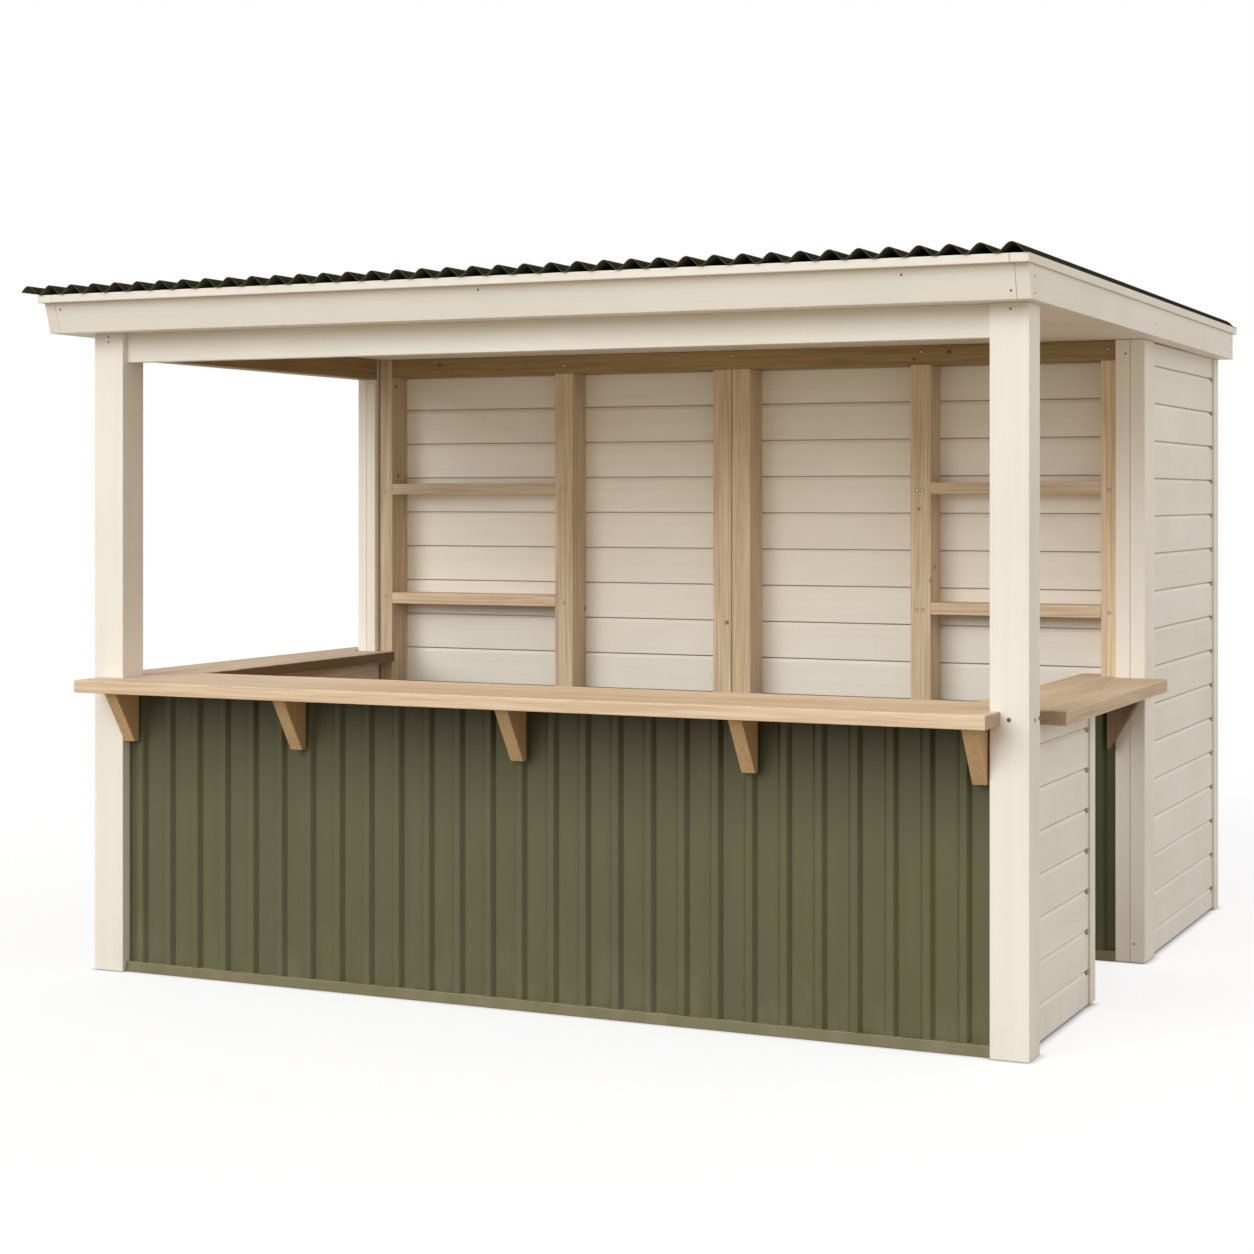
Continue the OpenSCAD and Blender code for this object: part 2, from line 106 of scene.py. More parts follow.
class GardenBarBoards(PropertyGroup):
    """Sizes of the boards and their fixings"""
    paint_edge: length_setting("Painted edge", "Rounding of painted timber edges", 0.0025, 0.0005, 0.006)
    post_edge: length_setting("Corner post edge", "Rounding of the corner posts", 0.006, 0.0005, 0.01)
    timber_edge: length_setting("Timber edge", "Rounding of bare timber edges", 0.003, 0.0005, 0.006)
    counter_edge: length_setting("Counter edge", "Rounding of counter edges", 0.0045, 0.0005, 0.01)
    lip: length_setting("Board thickness", "Thickness of a weatherboard", 0.018, 0.012, 0.025)
    slope: length_setting("Slope height", "Height of the slope on a weatherboard's top", 0.014, 0.008, 0.03)
    step: length_setting("Slope depth", "Depth of the slope on a weatherboard's top", 0.006, 0.003, 0.009)
    joint: length_setting("Joint", "Open joint under a weatherboard's lower edge", 0.004, 0.001, 0.006)
    end_gap: length_setting("End gap", "Gap between a weatherboard and its trim", 0.0025, 0.0005, 0.006)
    notch: length_setting("Notch", "Length of the notch at the trimmed end of a lap", 0.032, 0.002, 0.06)
    mitre_gap: length_setting("Corner joint", "Open joint at the roof's corners", 0.0008, 0.0, 0.004)
    stud_joint: length_setting("Stud joint", "Open joint between the two middle studs", 0.003, 0.0, 0.006)
    screw_radius: length_setting("Screw head", "Radius of a screw head", 0.005, 0.002, 0.01)
    nail_radius: length_setting("Nail head", "Radius of a nail head", 0.0028, 0.001, 0.01)
    screw_height: length_setting("Screw height", "How far a head stands out", 0.0012, 0.0002, 0.004)
    seed: IntProperty(name="Seed", description="Seed of the timber's random grain", min=0, default=7)


class GardenBarSteel(PropertyGroup):
    """Sizes of the steel sheets"""
    rib_pitch: length_setting("Rib spacing", "Spacing of the cladding's ribs", 0.1192, 0.08, 0.2)
    rib_face: length_setting("Rib face", "Width of a rib at its face", 0.022, 0.01, 0.05)
    rib_flank: length_setting("Rib flank", "Width of a rib's sloping flank", 0.012, 0.003, 0.02)
    bend: length_setting("Bend radius", "Radius of the cladding's bends", 0.003, 0.0005, 0.006)
    clad_sheet: length_setting("Cladding sheet", "Thickness of the cladding", 0.0015, 0.0005, 0.003)
    fold: length_setting("Flashing fold", "Rounding of the flashing's folds", 0.002, 0.0005, 0.004)
    wave_pitch: length_setting("Wave spacing", "Spacing of the roof sheet's waves", 0.0965, 0.06, 0.15)
    wave_height: length_setting("Wave height", "Height of the roof sheet's waves", 0.032, 0.01, 0.06)
    wave_first: length_setting("First crest", "From the roof sheet's left edge to a crest", 0.029, 0.0, 0.1)
    roof_sheet: length_setting("Roof sheet", "Thickness of the roof sheet", 0.002, 0.0005, 0.004)


class GardenBarStage(PropertyGroup):
    """Light and camera"""
    lens: FloatProperty(
        name="Lens", description="Focal length of the camera in millimetres", min=20, max=200, default=68.98)
    turn: FloatProperty(
        name="Turn", description="How far the camera is turned to the left",
        subtype="ANGLE", default=math.radians(24.815))
    rise: FloatProperty(
        name="Rise", description="Shift of the picture's frame", min=-1, max=1, default=-0.1028)
    eye: FloatVectorProperty(
        name="Eye", description="Place of the camera", subtype="TRANSLATION",
        default=(3.790, -8.665, 1.7245))
    ambient: light_setting("Ambient light", "Strength of the light from all sides", 0.05, 3)
    side: light_setting("Side light", "Strength of the light from the right", 0.81, 3)
    sky: light_setting("Top light", "Strength of the light from above", 0.75, 3)
    key: light_setting("Key light", "Strength of the soft light from the front", 2.0, 10)
    fill: light_setting("Fill light", "Power of the fill light over the counter", 8.6, 50)


class GardenBarSettings(PropertyGroup):
    """All settings of the dressing"""
    finishes: PointerProperty(type=GardenBarFinishes)
    boards: PointerProperty(type=GardenBarBoards)
    steel: PointerProperty(type=GardenBarSteel)
    stage: PointerProperty(type=GardenBarStage)


def settings():
    """Settings of the current scene."""
    return bpy.context.scene.garden_bar


# Node trees

class Wiring:
    """Adds nodes to a tree and links them as it goes."""

    def __init__(self, tree):
        self.tree = tree

    def add(self, kind, inputs=None, **options):
        """Adds a node; inputs are values or sockets by name or place."""
        made = self.tree.nodes.new(kind)
        for name, value in options.items():
            setattr(made, name, value)
        for place, value in (inputs or {}).items():
            self.feed(made.inputs[place], value)
        return made

    def feed(self, socket, value):
        """Links a socket or sets its value."""
        if isinstance(value, bpy.types.NodeSocket):
            self.tree.links.new(value, socket)
        else:
            socket.default_value = value

    def geometry(self, kind, inputs=None, **options):
        """First output of a geometry node."""
        return self.add("GeometryNode" + kind, inputs, **options).outputs[0]

    def math(self, operation, first, second=0.0, clamp=False):
        """Result of a maths node."""
        made = self.add("ShaderNodeMath", {0: first, 1: second}, operation=operation, use_clamp=clamp)
        return made.outputs[0]

    def total(self, *parts):
        """Sum of values, each times its share."""
        values = [self.math("MULTIPLY", value, share) for value, share in parts]
        return functools.reduce(functools.partial(self.math, "ADD"), values)

    def vector(self, operation, first, second=(0.0, 0.0, 0.0)):
        """Result of a vector maths node."""
        return self.add("ShaderNodeVectorMath", {0: first, 1: second}, operation=operation).outputs[0]

    def scale(self, vector, share):
        """Vector times a value."""
        return self.add("ShaderNodeVectorMath", {0: vector, "Scale": share}, operation="SCALE").outputs[0]

    def split(self, vector):
        """Parts of a vector."""
        return self.add("ShaderNodeSeparateXYZ", {0: vector}).outputs

    def joined(self, **parts):
        """Vector of its parts."""
        return self.add("ShaderNodeCombineXYZ", parts).outputs[0]

    def blend(self, factor, first, second):
        """Mix of two colours."""
        made = self.add("ShaderNodeMix", data_type="RGBA")
        for place, value in ((0, factor), (6, first), (7, second)):
            self.feed(made.inputs[place], value)
        return made.outputs[2]

    def spread(self, value, low, high, to_low=0.0, to_high=1.0, smooth=True):
        """Maps a range of values to another."""
        kind = "SMOOTHSTEP" if smooth else "LINEAR"
        return self.add(
            "ShaderNodeMapRange", {0: value, 1: low, 2: high, 3: to_low, 4: to_high},
            interpolation_type=kind).outputs[0]

    def noise(self, place, scale, detail=3.0, rough=0.55):
        """Value of a noise at a place; three scales draw it out along the axes."""
        if not isinstance(scale, float):
            place = self.vector("MULTIPLY", place, scale)
            scale = 1.0
        return self.add(
            "ShaderNodeTexNoise", {"Vector": place, "Scale": scale, "Detail": detail, "Roughness": rough}
        ).outputs["Fac"]


# Outputs of the groups that make a surface and of the trees that make a shape
SURFACE = {"Color": ("Color",), "Float": ("Height", "Roughness")}
SHAPE = {"Geometry": ("Geometry",)}


def new_tree(name, kind, inputs, outputs):
    """Empty node group with named sockets; gives its wiring, its input sockets and its output node."""
    tree = bpy.data.node_groups.new(name, kind)
    for side, sockets in (("INPUT", inputs), ("OUTPUT", outputs)):
        for sort, titles in sockets.items():
            for title in titles:
                tree.interface.new_socket(name=title, in_out=side, socket_type="NodeSocket" + sort)
    wiring = Wiring(tree)
    entry = wiring.add("NodeGroupInput").outputs
    return wiring, entry, wiring.add("NodeGroupOutput").inputs


def built_once(name):
    """Lets a function build its node group only where there is none of that name."""
    def wrap(build):
        @functools.wraps(build)
        def find():
            return bpy.data.node_groups.get(name) or build(name)
        return find
    return wrap


# Spacing of the rings that Blender's wave texture draws at scale 1
RING_SPACING = 0.314
# What the end grain loses of each colour, and deeper on an edge in painted shade, and what a knot keeps
END_GRAIN_AND_SHADE_LOSS = (0.364, 0.40, 0.435)
KNOT_SHARES = (0.42, 0.36, 0.30)


@built_once("Timber grain")
def timber_group(name):
    """Growth rings, fibres, streaks and knots of sawn timber."""
    w, entry, leave = new_tree(name, "ShaderNodeTree", {
        "Vector": ("Grain",), "Color": ("Light", "Dark"),
        "Float": ("Tint", "End", "Ring width", "Contrast", "Knots", "Variation")}, SURFACE)
    slow = w.vector("MULTIPLY", entry["Grain"], (0.9, 5.0, 5.0))
    bend = w.add("ShaderNodeTexNoise", {"Vector": slow, "Scale": 1.0, "Detail": 2.0}).outputs["Color"]
    bend = w.vector("MULTIPLY", w.vector("SUBTRACT", bend, (0.5, 0.5, 0.5)), (0.0, 0.035, 0.035))
    place = w.vector("ADD", entry["Grain"], bend)
    knot = w.add("ShaderNodeTexVoronoi", {"Vector": entry["Grain"], "Scale": 6.5}).outputs["Distance"]
    swirl = w.spread(knot, 0.34, 0.02, 0.0, 2.0)
    mark = w.math("MULTIPLY", w.spread(knot, 0.085, 0.035), entry["Knots"])
    density = w.math("DIVIDE", RING_SPACING, entry["Ring width"])
    rings = w.add(
        "ShaderNodeTexWave",
        {"Vector": w.vector("MULTIPLY", place, (0.1, 1.0, 1.0)), "Scale": density, "Distortion": 1.6,
         "Detail": 2.0, "Detail Scale": 1.4, "Phase Offset": swirl},
        wave_type="RINGS", rings_direction="X").outputs["Fac"]
    streak = w.noise(place, (1.8, 85.0, 85.0), 4.0, 0.65)
    fibre = w.noise(place, (4.0, 190.0, 190.0), 2.0, 0.6)
    patch = w.noise(entry["Grain"], (1.6, 6.0, 6.0), 2.0, 0.5)
    tone = w.spread(w.total((rings, 0.05), (streak, 0.42), (fibre, 0.30), (patch, 0.23)), 0.34, 0.68)
    tone = w.math("MULTIPLY", tone, entry["Contrast"], True)
    shade = w.math("ADD", 1.0, w.math("MULTIPLY", entry["Tint"], entry["Variation"]))
    colour = w.scale(w.blend(tone, entry["Light"], entry["Dark"]), shade)
    # End grain darkens; a higher End value is painted shade on an edge
    kept = w.vector("SUBTRACT", (1.0, 1.0, 1.0), w.scale(END_GRAIN_AND_SHADE_LOSS, entry["End"]))
    burnt = w.vector("MULTIPLY", entry["Dark"], KNOT_SHARES)
    w.feed(leave["Color"], w.blend(mark, w.vector("MULTIPLY", colour, kept), burnt))
    w.feed(leave["Height"], w.total((fibre, 0.6), (rings, 0.4)))
    w.feed(leave["Roughness"], w.spread(streak, 0.2, 0.8, 0.52, 0.68, False))
    return w.tree


@built_once("Brushed paint")
def paint_group(name):
    """Brushed paint through which the timber's fibres show faintly."""
    w, entry, leave = new_tree(name, "ShaderNodeTree", {
        "Vector": ("Grain",), "Float": ("Tint",), "Color": ("Paint", "Shade")}, SURFACE)
    fibre = w.noise(entry["Grain"], (2.2, 150.0, 150.0), 3.0, 0.6)
    streak = w.noise(entry["Grain"], (0.7, 26.0, 26.0), 3.0, 0.6)
    cloud = w.noise(entry["Grain"], 2.3, 3.0, 0.5)
    tone = w.spread(w.total((streak, 0.5), (cloud, 0.5)), 0.3, 0.75)
    tone = w.total((tone, 0.55), (fibre, 0.25))
    tone = w.math("ADD", tone, w.math("MULTIPLY", entry["Tint"], 0.14), True)
    w.feed(leave["Color"], w.blend(tone, entry["Paint"], entry["Shade"]))
    w.feed(leave["Height"], w.total((fibre, 0.7), (streak, 0.3)))
    w.feed(leave["Roughness"], w.spread(cloud, 0.25, 0.75, 0.46, 0.60, False))
    return w.tree


@built_once("Weathering")
def weather_group(name):
    """Dust, thickest near the ground, and paler edges: rubbed wear, and on the flashing a painted highlight.
    """
    w, entry, leave = new_tree(name, "ShaderNodeTree", {
        "Color": ("Color", "Soil", "Edge colour"), "Vector": ("Place",),
        "Float": ("Edge", "Soil amount", "Edge amount")}, {"Color": ("Color",)})
    splash = w.noise(entry["Place"], (9.0, 9.0, 4.0), 4.0, 0.6)
    height = w.split(entry["Place"])["Z"]
    low = w.math("MULTIPLY", w.spread(height, 0.30, 0.0), w.spread(splash, 0.35, 0.75))
    dust_film_and_shade = w.math("MULTIPLY", w.spread(splash, 0.45, 0.8), 0.18)
    soil = w.math("MULTIPLY", w.math("ADD", low, dust_film_and_shade, True), entry["Soil amount"])
    wear_and_highlight = w.math("MULTIPLY", entry["Edge"], w.spread(w.noise(entry["Place"], 14.0), 0.3, 0.7))
    wear_and_highlight = w.math("MULTIPLY", wear_and_highlight, entry["Edge amount"])
    w.feed(leave["Color"], w.blend(wear_and_highlight, w.blend(soil, entry["Color"], entry["Soil"]), entry["Edge colour"]))
    return w.tree


@built_once("Coated steel")
def steel_group(name):
    """Coated steel with faint rain streaks and a mottled sheen, darker above a height as painted shade."""
    w, entry, leave = new_tree(name, "ShaderNodeTree", {
        "Vector": ("Place", "Streaks"), "Color": ("Coat",), "Float": ("Dusty to", "Clean from")}, SURFACE)
    streak = w.noise(entry["Place"], entry["Streaks"], 4.0, 0.6)
    cloud = w.noise(entry["Place"], 3.1, 4.0, 0.55)
    pale = w.vector("MULTIPLY", entry["Coat"], (1.05, 1.05, 1.05))
    deep = w.vector("MULTIPLY", entry["Coat"], (0.95, 0.95, 0.94))
    colour = w.blend(w.spread(w.total((streak, 0.55), (cloud, 0.45)), 0.32, 0.70), deep, pale)
    # Painted shade: the colour darkens from the first height up to the second
    shade_share = w.spread(w.split(entry["Place"])["Z"], entry["Dusty to"], entry["Clean from"])
    w.feed(leave["Color"], w.blend(shade_share, colour, w.vector("MULTIPLY", colour, (0.50, 0.48, 0.40))))
    w.feed(leave["Height"], w.noise(entry["Place"], 420.0, 2.0, 0.5))
    w.feed(leave["Roughness"], w.spread(cloud, 0.25, 0.75, 0.40, 0.54, False))
    return w.tree


# Finishes

# Shares that leave a colour as it is
WHOLE = (1.0, 1.0, 1.0)
# Share of the paint's colour in its brush marks
BRUSHED = (0.90, 0.885, 0.86)
# How far the open joints and notches take on their colour of bare wood and painted shade
JOINT_SHADE_DEPTH = 0.86
# Shares of the roof's colour in the valleys and on the crests of its waves: painted shade and painted
# highlight
VALLEY_SHADE_SHARE, CREST_HIGHLIGHT_SHARE = 0.7, 1.6
# Heights between which painted shade grows on a sheet; these lie over the roof, so that no sheet gets any
UNSHADED = (8.0, 9.0)
# Scales of the rain streaks on an upright sheet
RAIN = (26.0, 26.0, 0.8)

# What sets each timber and each coated steel apart
TIMBERS = {
    "Oiled oak": dict(wood="oak", ring=0.013, contrast=0.95, knots=0.15, edge=0.35, variation=0.22),
    # Darker copy of the oak: painted shade on the front brackets under the counters
    "Bracket oak": dict(
        wood="oak", shares=(0.79, 0.69, 0.515), ring=0.012, contrast=0.9, knots=0.2, edge=0.3),
    # Much darker copy of the oak: painted shade on the right bracket
    "Shaded oak": dict(
        wood="oak", shares=(0.29, 0.23, 0.157), ring=0.012, contrast=0.9, knots=0.2, edge=0.3),
    "Treated timber": dict(wood="timber", ring=0.016, contrast=0.9, knots=0.9, edge=0.3, variation=0.22),
    # Darker copy of the timber: painted shade on the left header and the back rail
    "Shaded timber": dict(
        wood="timber", shares=(0.50, 0.43, 0.25), ring=0.016, contrast=0.9, knots=0.9, edge=0.2),
}
STEELS = {
    # The olive cladding darkens from 0.58 m up to 1.0 m, under the counter: painted shade
    "Olive steel": dict(coat="olive", streaks=RAIN, soil=0.2, dust_film_and_shade=(0.58, 1.0)),
    # Darker copy of the olive coat: painted shade on the back cladding seen through the doorway
    "Inner steel": dict(coat="olive", shares=(0.62, 0.68, 0.62), streaks=RAIN, soil=0.2),
    # The flashing's edges and top ledge are painted paler: painted highlight
    "Flashing steel": dict(coat="flashing", streaks=(5.0, 5.0, 30.0), soil=0.3, edge=1.0),
    # The roof: painted shade in its valleys, painted highlight on its crests, a paler underside as painted
    # light
    "Roof coating": dict(coat="roof", streaks=(20.0, 0.7, 20.0), soil=0.12, under="roof_under_painted_light", sheen=0.0),
}


def new_finish(name):
    """Empty material with its wiring and its shader."""
    material = bpy.data.materials.new(name)
    material.use_nodes = True
    w = Wiring(material.node_tree)
    return material, w, material.node_tree.nodes["Principled BSDF"]


def use_group(w, tree, inputs):
    """Outputs of a node group that is placed in a material."""
    return w.add("ShaderNodeGroup", inputs, node_tree=tree).outputs


def attribute(w, name):
    """Attribute node of a piece's own mesh."""
    return w.add("ShaderNodeAttribute", attribute_name=name).outputs


def object_place(w):
    """Place of a point in the frame."""
    return w.add("ShaderNodeTexCoord").outputs["Object"]


def grain_place(w):
    """Place and tone of a point in its board, by the names that the groups give them."""
    return {"Grain": attribute(w, "grain")["Vector"], "Tint": attribute(w, "tint")["Fac"]}


def rgba(colour):
    """Colour with full opacity."""
    return (*colour, 1.0)


def scaled(colour, shares):
    """Colour with each part scaled by a share."""
    return tuple(min(1.0, c * k) for c, k in zip(colour, shares))


def weathered(w, colour, base, soil, edge, paler):
    """Colour under its dust, with edges in a paler tone of the base colour: rubbed wear, and on the flashing
    a painted highlight.
    """
    return use_group(w, weather_group(), {
        "Color": colour, "Place": object_place(w), "Edge": attribute(w, "edge")["Fac"],
        "Soil": rgba(settings().finishes.soil), "Soil amount": soil, "Edge amount": edge,
        "Edge colour": rgba(scaled(base, (paler,) * 3))})["Color"]


def complete(w, shader, colour, surface, strength, distance):
    """Links colour, roughness and relief to the shader."""
    w.feed(shader.inputs["Base Color"], colour)
    w.feed(shader.inputs["Roughness"], surface["Roughness"])
    bump = w.add("ShaderNodeBump", {"Height": surface["Height"], "Strength": strength, "Distance": distance})
    w.feed(shader.inputs["Normal"], bump.outputs["Normal"])


def painted_finish(name):
    """Cream paint on planed timber, with bare wood and painted shade in the open joints and notches."""
    f = settings().finishes
    material, w, shader = new_finish(name)
    surface = use_group(w, paint_group(), {
        **grain_place(w), "Paint": rgba(f.cream), "Shade": rgba(scaled(f.cream, BRUSHED))})
    worn = weathered(w, surface["Color"], f.cream, soil=0.07, edge=0.25, paler=1.08)
    joint_wood_and_shade = w.math("MULTIPLY", attribute(w, "gap")["Fac"], JOINT_SHADE_DEPTH)
    complete(w, shader, w.blend(joint_wood_and_shade, worn, rgba(f.joint)), surface, strength=0.22, distance=0.0008)
    return material


def timber_finish(name, wood, ring, contrast, knots, edge, shares=WHOLE, variation=0.09):
    """Bare timber."""
    f = settings().finishes
    material, w, shader = new_finish(name)
    light, dark = (scaled(getattr(f, f"{wood}_{tone}"), shares) for tone in ("light", "dark"))
    surface = use_group(w, timber_group(), {
        **grain_place(w), "End": attribute(w, "end")["Fac"], "Light": rgba(light), "Dark": rgba(dark),
        "Ring width": ring, "Contrast": contrast, "Knots": knots, "Variation": variation})
    worn = weathered(w, surface["Color"], light, soil=0.12, edge=edge, paler=1.18)
    complete(w, shader, worn, surface, strength=0.35, distance=0.0008)
    return material


def steel_finish(name, coat, streaks, soil, shares=WHOLE, dust_film_and_shade=UNSHADED, under=None, sheen=0.25, edge=0.0):
    """Coated steel sheet, darker above a height as painted shade; with an underside coat, painted shade in
    the valleys, painted highlight on the crests and a paler underside as painted light.
    """
    f = settings().finishes
    material, w, shader = new_finish(name)
    base = scaled(getattr(f, coat), shares)
    skin = rgba(base)
    if under:
        # Painted shade in the valleys, painted highlight on the crests, painted light on the underside
        valley, crest = (rgba(scaled(base, (share,) * 3)) for share in (VALLEY_SHADE_SHARE, CREST_HIGHLIGHT_SHARE))
        skin = w.blend(attribute(w, "crest")["Fac"], valley, crest)
        skin = w.blend(attribute(w, "under")["Fac"], skin, rgba(getattr(f, under)))
    surface = use_group(w, steel_group(), {
        "Place": object_place(w), "Coat": skin, "Streaks": streaks, "Dusty to": dust_film_and_shade[0],
        "Clean from": dust_film_and_shade[1]})
    shader.inputs["Specular IOR Level"].default_value = sheen
    worn = weathered(w, surface["Color"], base, soil, edge, paler=1.7)
    complete(w, shader, worn, surface, strength=0.08, distance=0.0004)
    return material


def screw_finish(name):
    """Zinc of the nail and screw heads, from dull to bright; dull rims are painted shade, bright heads
    partly a painted glint.
    """
    f = settings().finishes
    material, w, shader = new_finish(name)
    coat = w.blend(attribute(w, "shine")["Fac"], rgba(f.zinc_dull_and_rim_shade), rgba(f.zinc_bright))
    surface = use_group(w, steel_group(), {
        "Place": object_place(w), "Coat": coat, "Streaks": (60.0, 60.0, 60.0), "Dusty to": UNSHADED[0],
        "Clean from": UNSHADED[1]})
    shader.inputs["Metallic"].default_value = 0.3
    complete(w, shader, surface["Color"], surface, strength=0.1, distance=0.0004)
    return material


def finish(name):
    """Material of that name, made when first asked for."""
    if name in bpy.data.materials:
        return bpy.data.materials[name]
    if name in TIMBERS:
        return timber_finish(name, **TIMBERS[name])
    if name in STEELS:
        return steel_finish(name, **STEELS[name])
    return {"Cream paint": painted_finish, "Screw zinc": screw_finish}[name](name)


# Meshes

# Corners of the solids that are closer than this lie on one plane
NEAR = 0.002
# Edges that turn by more than this are rounded
SHARP = math.radians(20)
# Parts of a face's normal from which it counts as a board's end, as a top, and not as an underside
END_FACING, TOP_FACING, UNDER_FACING = 0.8, 0.7, 0.1
# Distances from a board's middle to the pith of its trunk, and the length of trunk it is cut from
PITH_NEAR, PITH_FAR, TRUNK = 0.05, 0.16, 60
# Tones of boards that differ from the random ones, from left to right; the counters' dark tones are partly
# painted shade
TINTS = {
    "back_studs": (-0.1, 0.1, 0.2, 0.35, 0.25, 1.0),
    "right_counter": (-0.75, -1.0, -0.8),
    "left_counter": (-0.9, -0.9, -0.9),
}
# Inner edges darkened as painted shade: node, axis and sense of the face, and depth of the tone
PAINTED_SHADE_EDGES = {"left_counter": (0, 1, 2.1)}


def new_object(name, data):
    """Object that is linked to the scene."""
    made = bpy.data.objects.new(name, data)
    bpy.context.scene.collection.objects.link(made)
    return made


def add_piece(name, mesh, coat, nodes=()):
    """Links a finished mesh as a piece that rides on the bar and stands for CAD nodes."""
    mesh.name = name
    mesh.materials.clear()
    mesh.materials.append(finish(coat))
    piece = new_object(name, mesh)
    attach(piece, "root")
    if nodes:
        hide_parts(*nodes)
    return piece


def span(points):
    """Lowest and highest corner of the box round some points."""
    return [Vector([pick(p[k] for p in points) for k in range(3)]) for pick in (min, max)]


def islands(bm):
    """Groups of vertices that are joined by edges, from left to right."""
    left = set(bm.verts)
    found = []
    while left:
        group, queue = [], [left.pop()]
        while queue:
            vert = queue.pop()
            group.append(vert)
            for edge in vert.link_edges:
                other = edge.other_vert(vert)
                if other in left:
                    left.remove(other)
                    queue.append(other)
        found.append(group)
    found.sort(key=lambda g: tuple(round(c, 4) for c in min(v.co[:] for v in g)))
    return found


def layer(layers, name):
    """Layer of that name, made where there is none."""
    return layers.get(name) or layers.new(name)


def set_grain(bm, seed, axis=None, tints=(), shaded_edge=None):
    """Gives each board its own grain coordinates along its length, and a tint of its own."""
    grain = layer(bm.verts.layers.float_vector, "grain")
    tint = layer(bm.verts.layers.float, "tint")
    end = layer(bm.faces.layers.float, "end")
    draw = random.Random(seed)
    for place, group in enumerate(islands(bm)):
        low, high = span([v.co for v in group])
        size = high - low
        along = axis if axis is not None else max(range(3), key=lambda k: size[k])
        middle = (low + high) / 2
        turn = draw.uniform(0, 2 * math.pi)
        pith = draw.uniform(PITH_NEAR, PITH_FAR)
        start = draw.uniform(0, TRUNK)
        shade = draw.uniform(-1, 1)
        if place < len(tints):
            shade = tints[place]
        for vert in group:
            d = vert.co - middle
            vert[grain] = (
                d[along] + start,
                d[(along + 1) % 3] + pith * math.cos(turn),
                d[(along + 2) % 3] + pith * math.sin(turn))
            vert[tint] = shade
            for face in vert.link_faces:
                face[end] = 1.0 if abs(face.normal[along]) > END_FACING else 0.0
                # An edge in painted shade is darkened like deep end grain
                if shaded_edge and face.normal[shaded_edge[0]] * shaded_edge[1] > END_FACING:
                    face[end] = shaded_edge[2]


def finish_mesh(bm, name):
    """Turns a bmesh into a mesh."""
    mesh = bpy.data.meshes.new(name)
    bm.to_mesh(mesh)
    bm.free()
    return mesh


def solid_copy(node):
    """Closed copy of a CAD node with whole faces."""
    bm = bmesh.new()
    bm.from_mesh(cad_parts[node].data)
    bmesh.ops.remove_doubles(bm, verts=bm.verts, dist=1e-5)
    bmesh.ops.dissolve_limit(bm, angle_limit=math.radians(0.2), verts=bm.verts, edges=bm.edges)
    return bm


def joint_edges(bm, axis):
    """Upright edges along which two posts of a piece meet."""
    boxes = [span([v.co for v in group]) for group in islands(bm)]
    planes = [
        (one[1][axis] + other[0][axis]) / 2 for one in boxes for other in boxes
        if abs(one[1][axis] - other[0][axis]) < NEAR]
    return {e for e in bm.edges if all(
        any(abs(v.co[axis] - plane) < NEAR for plane in planes) for v in e.verts)}


def round_edges(bm, width, fine=False):
    """Rounds the sharp edges and marks the new faces for paler edges, wear and on the flashing a painted
    highlight; posts that meet keep a fine joint.
    """
    edge = bm.faces.layers.float.new("edge")
    sharp = [e for e in bm.edges if len(e.link_faces) == 2 and e.calc_face_angle(0.0) > SHARP]
    close = joint_edges(bm, 0) if fine else set()
    made = bmesh.ops.bevel(
        bm, geom=[e for e in sharp if e not in close], offset=width, offset_type="OFFSET", segments=2,
        profile=0.6, affect="EDGES", clamp_overlap=True)
    for face in made["faces"]:
        face[edge] = 1.0


def shorten(bm, axis, gap):
    """Draws both ends of each board in that runs along an axis."""
    for group in islands(bm):
        low, high = span([v.co for v in group])
        size = high - low
        if size[axis] < max(size):
            continue
        for vert in group:
            near_low = vert.co[axis] - low[axis] < high[axis] - vert.co[axis]
            vert.co[axis] += gap if near_low else -gap


def open_joints(bm, axis, gap):
    """Opens the joint between boards that meet along an axis."""
    groups = islands(bm)
    for one in groups:
        end = max(v.co[axis] for v in one)
        for other in groups:
            start = min(v.co[axis] for v in other)
            if other is one or abs(start - end) > gap:
                continue
            for vert in [v for v in one if v.co[axis] > end - gap]:
                vert.co[axis] -= gap / 2
            for vert in [v for v in other if v.co[axis] < start + gap]:
                vert.co[axis] += gap / 2


def board_piece(node, coat, width, seed, axis=None, gap=0.0, joint=0.0, fine=False):
    """Rounded board or group of boards that stands for a CAD node of the same shape."""
    bm = solid_copy(node)
    if gap:
        shorten(bm, 0, gap)
    if joint:
        open_joints(bm, 0, joint)
    round_edges(bm, width, fine)
    set_grain(bm, seed, axis, TINTS.get(node, ()), PAINTED_SHADE_EDGES.get(node))
    return add_piece(f"{node}_timber", finish_mesh(bm, node), coat, [node])


def grown(name, tree, values, mesh=None):
    """Plain mesh that a geometry tree makes from its named inputs."""
    carrier = new_object(name, mesh or bpy.data.meshes.new(name))
    maker = carrier.modifiers.new("maker", "NODES")
    maker.node_group = tree
    for item in tree.interface.items_tree:
        if item.in_out == "INPUT" and item.name in values:
            maker[item.identifier] = values[item.name]
    graph = bpy.context.evaluated_depsgraph_get()
    made = bpy.data.meshes.new_from_object(
        carrier.evaluated_get(graph), preserve_all_data_layers=True, depsgraph=graph)
    carrier.modifiers.remove(maker)
    bpy.data.objects.remove(carrier)
    if not made.polygons:
        raise RuntimeError(f"{name} came out empty")
    return made


def end_tree(w, leave, shape, coat):
    """Ends a geometry tree with plain geometry in its finish."""
    whole = w.geometry("RealizeInstances", {0: shape})
    w.feed(leave["Geometry"], w.geometry("SetMaterial", {"Geometry": whole, "Material": coat}))
    return w.tree


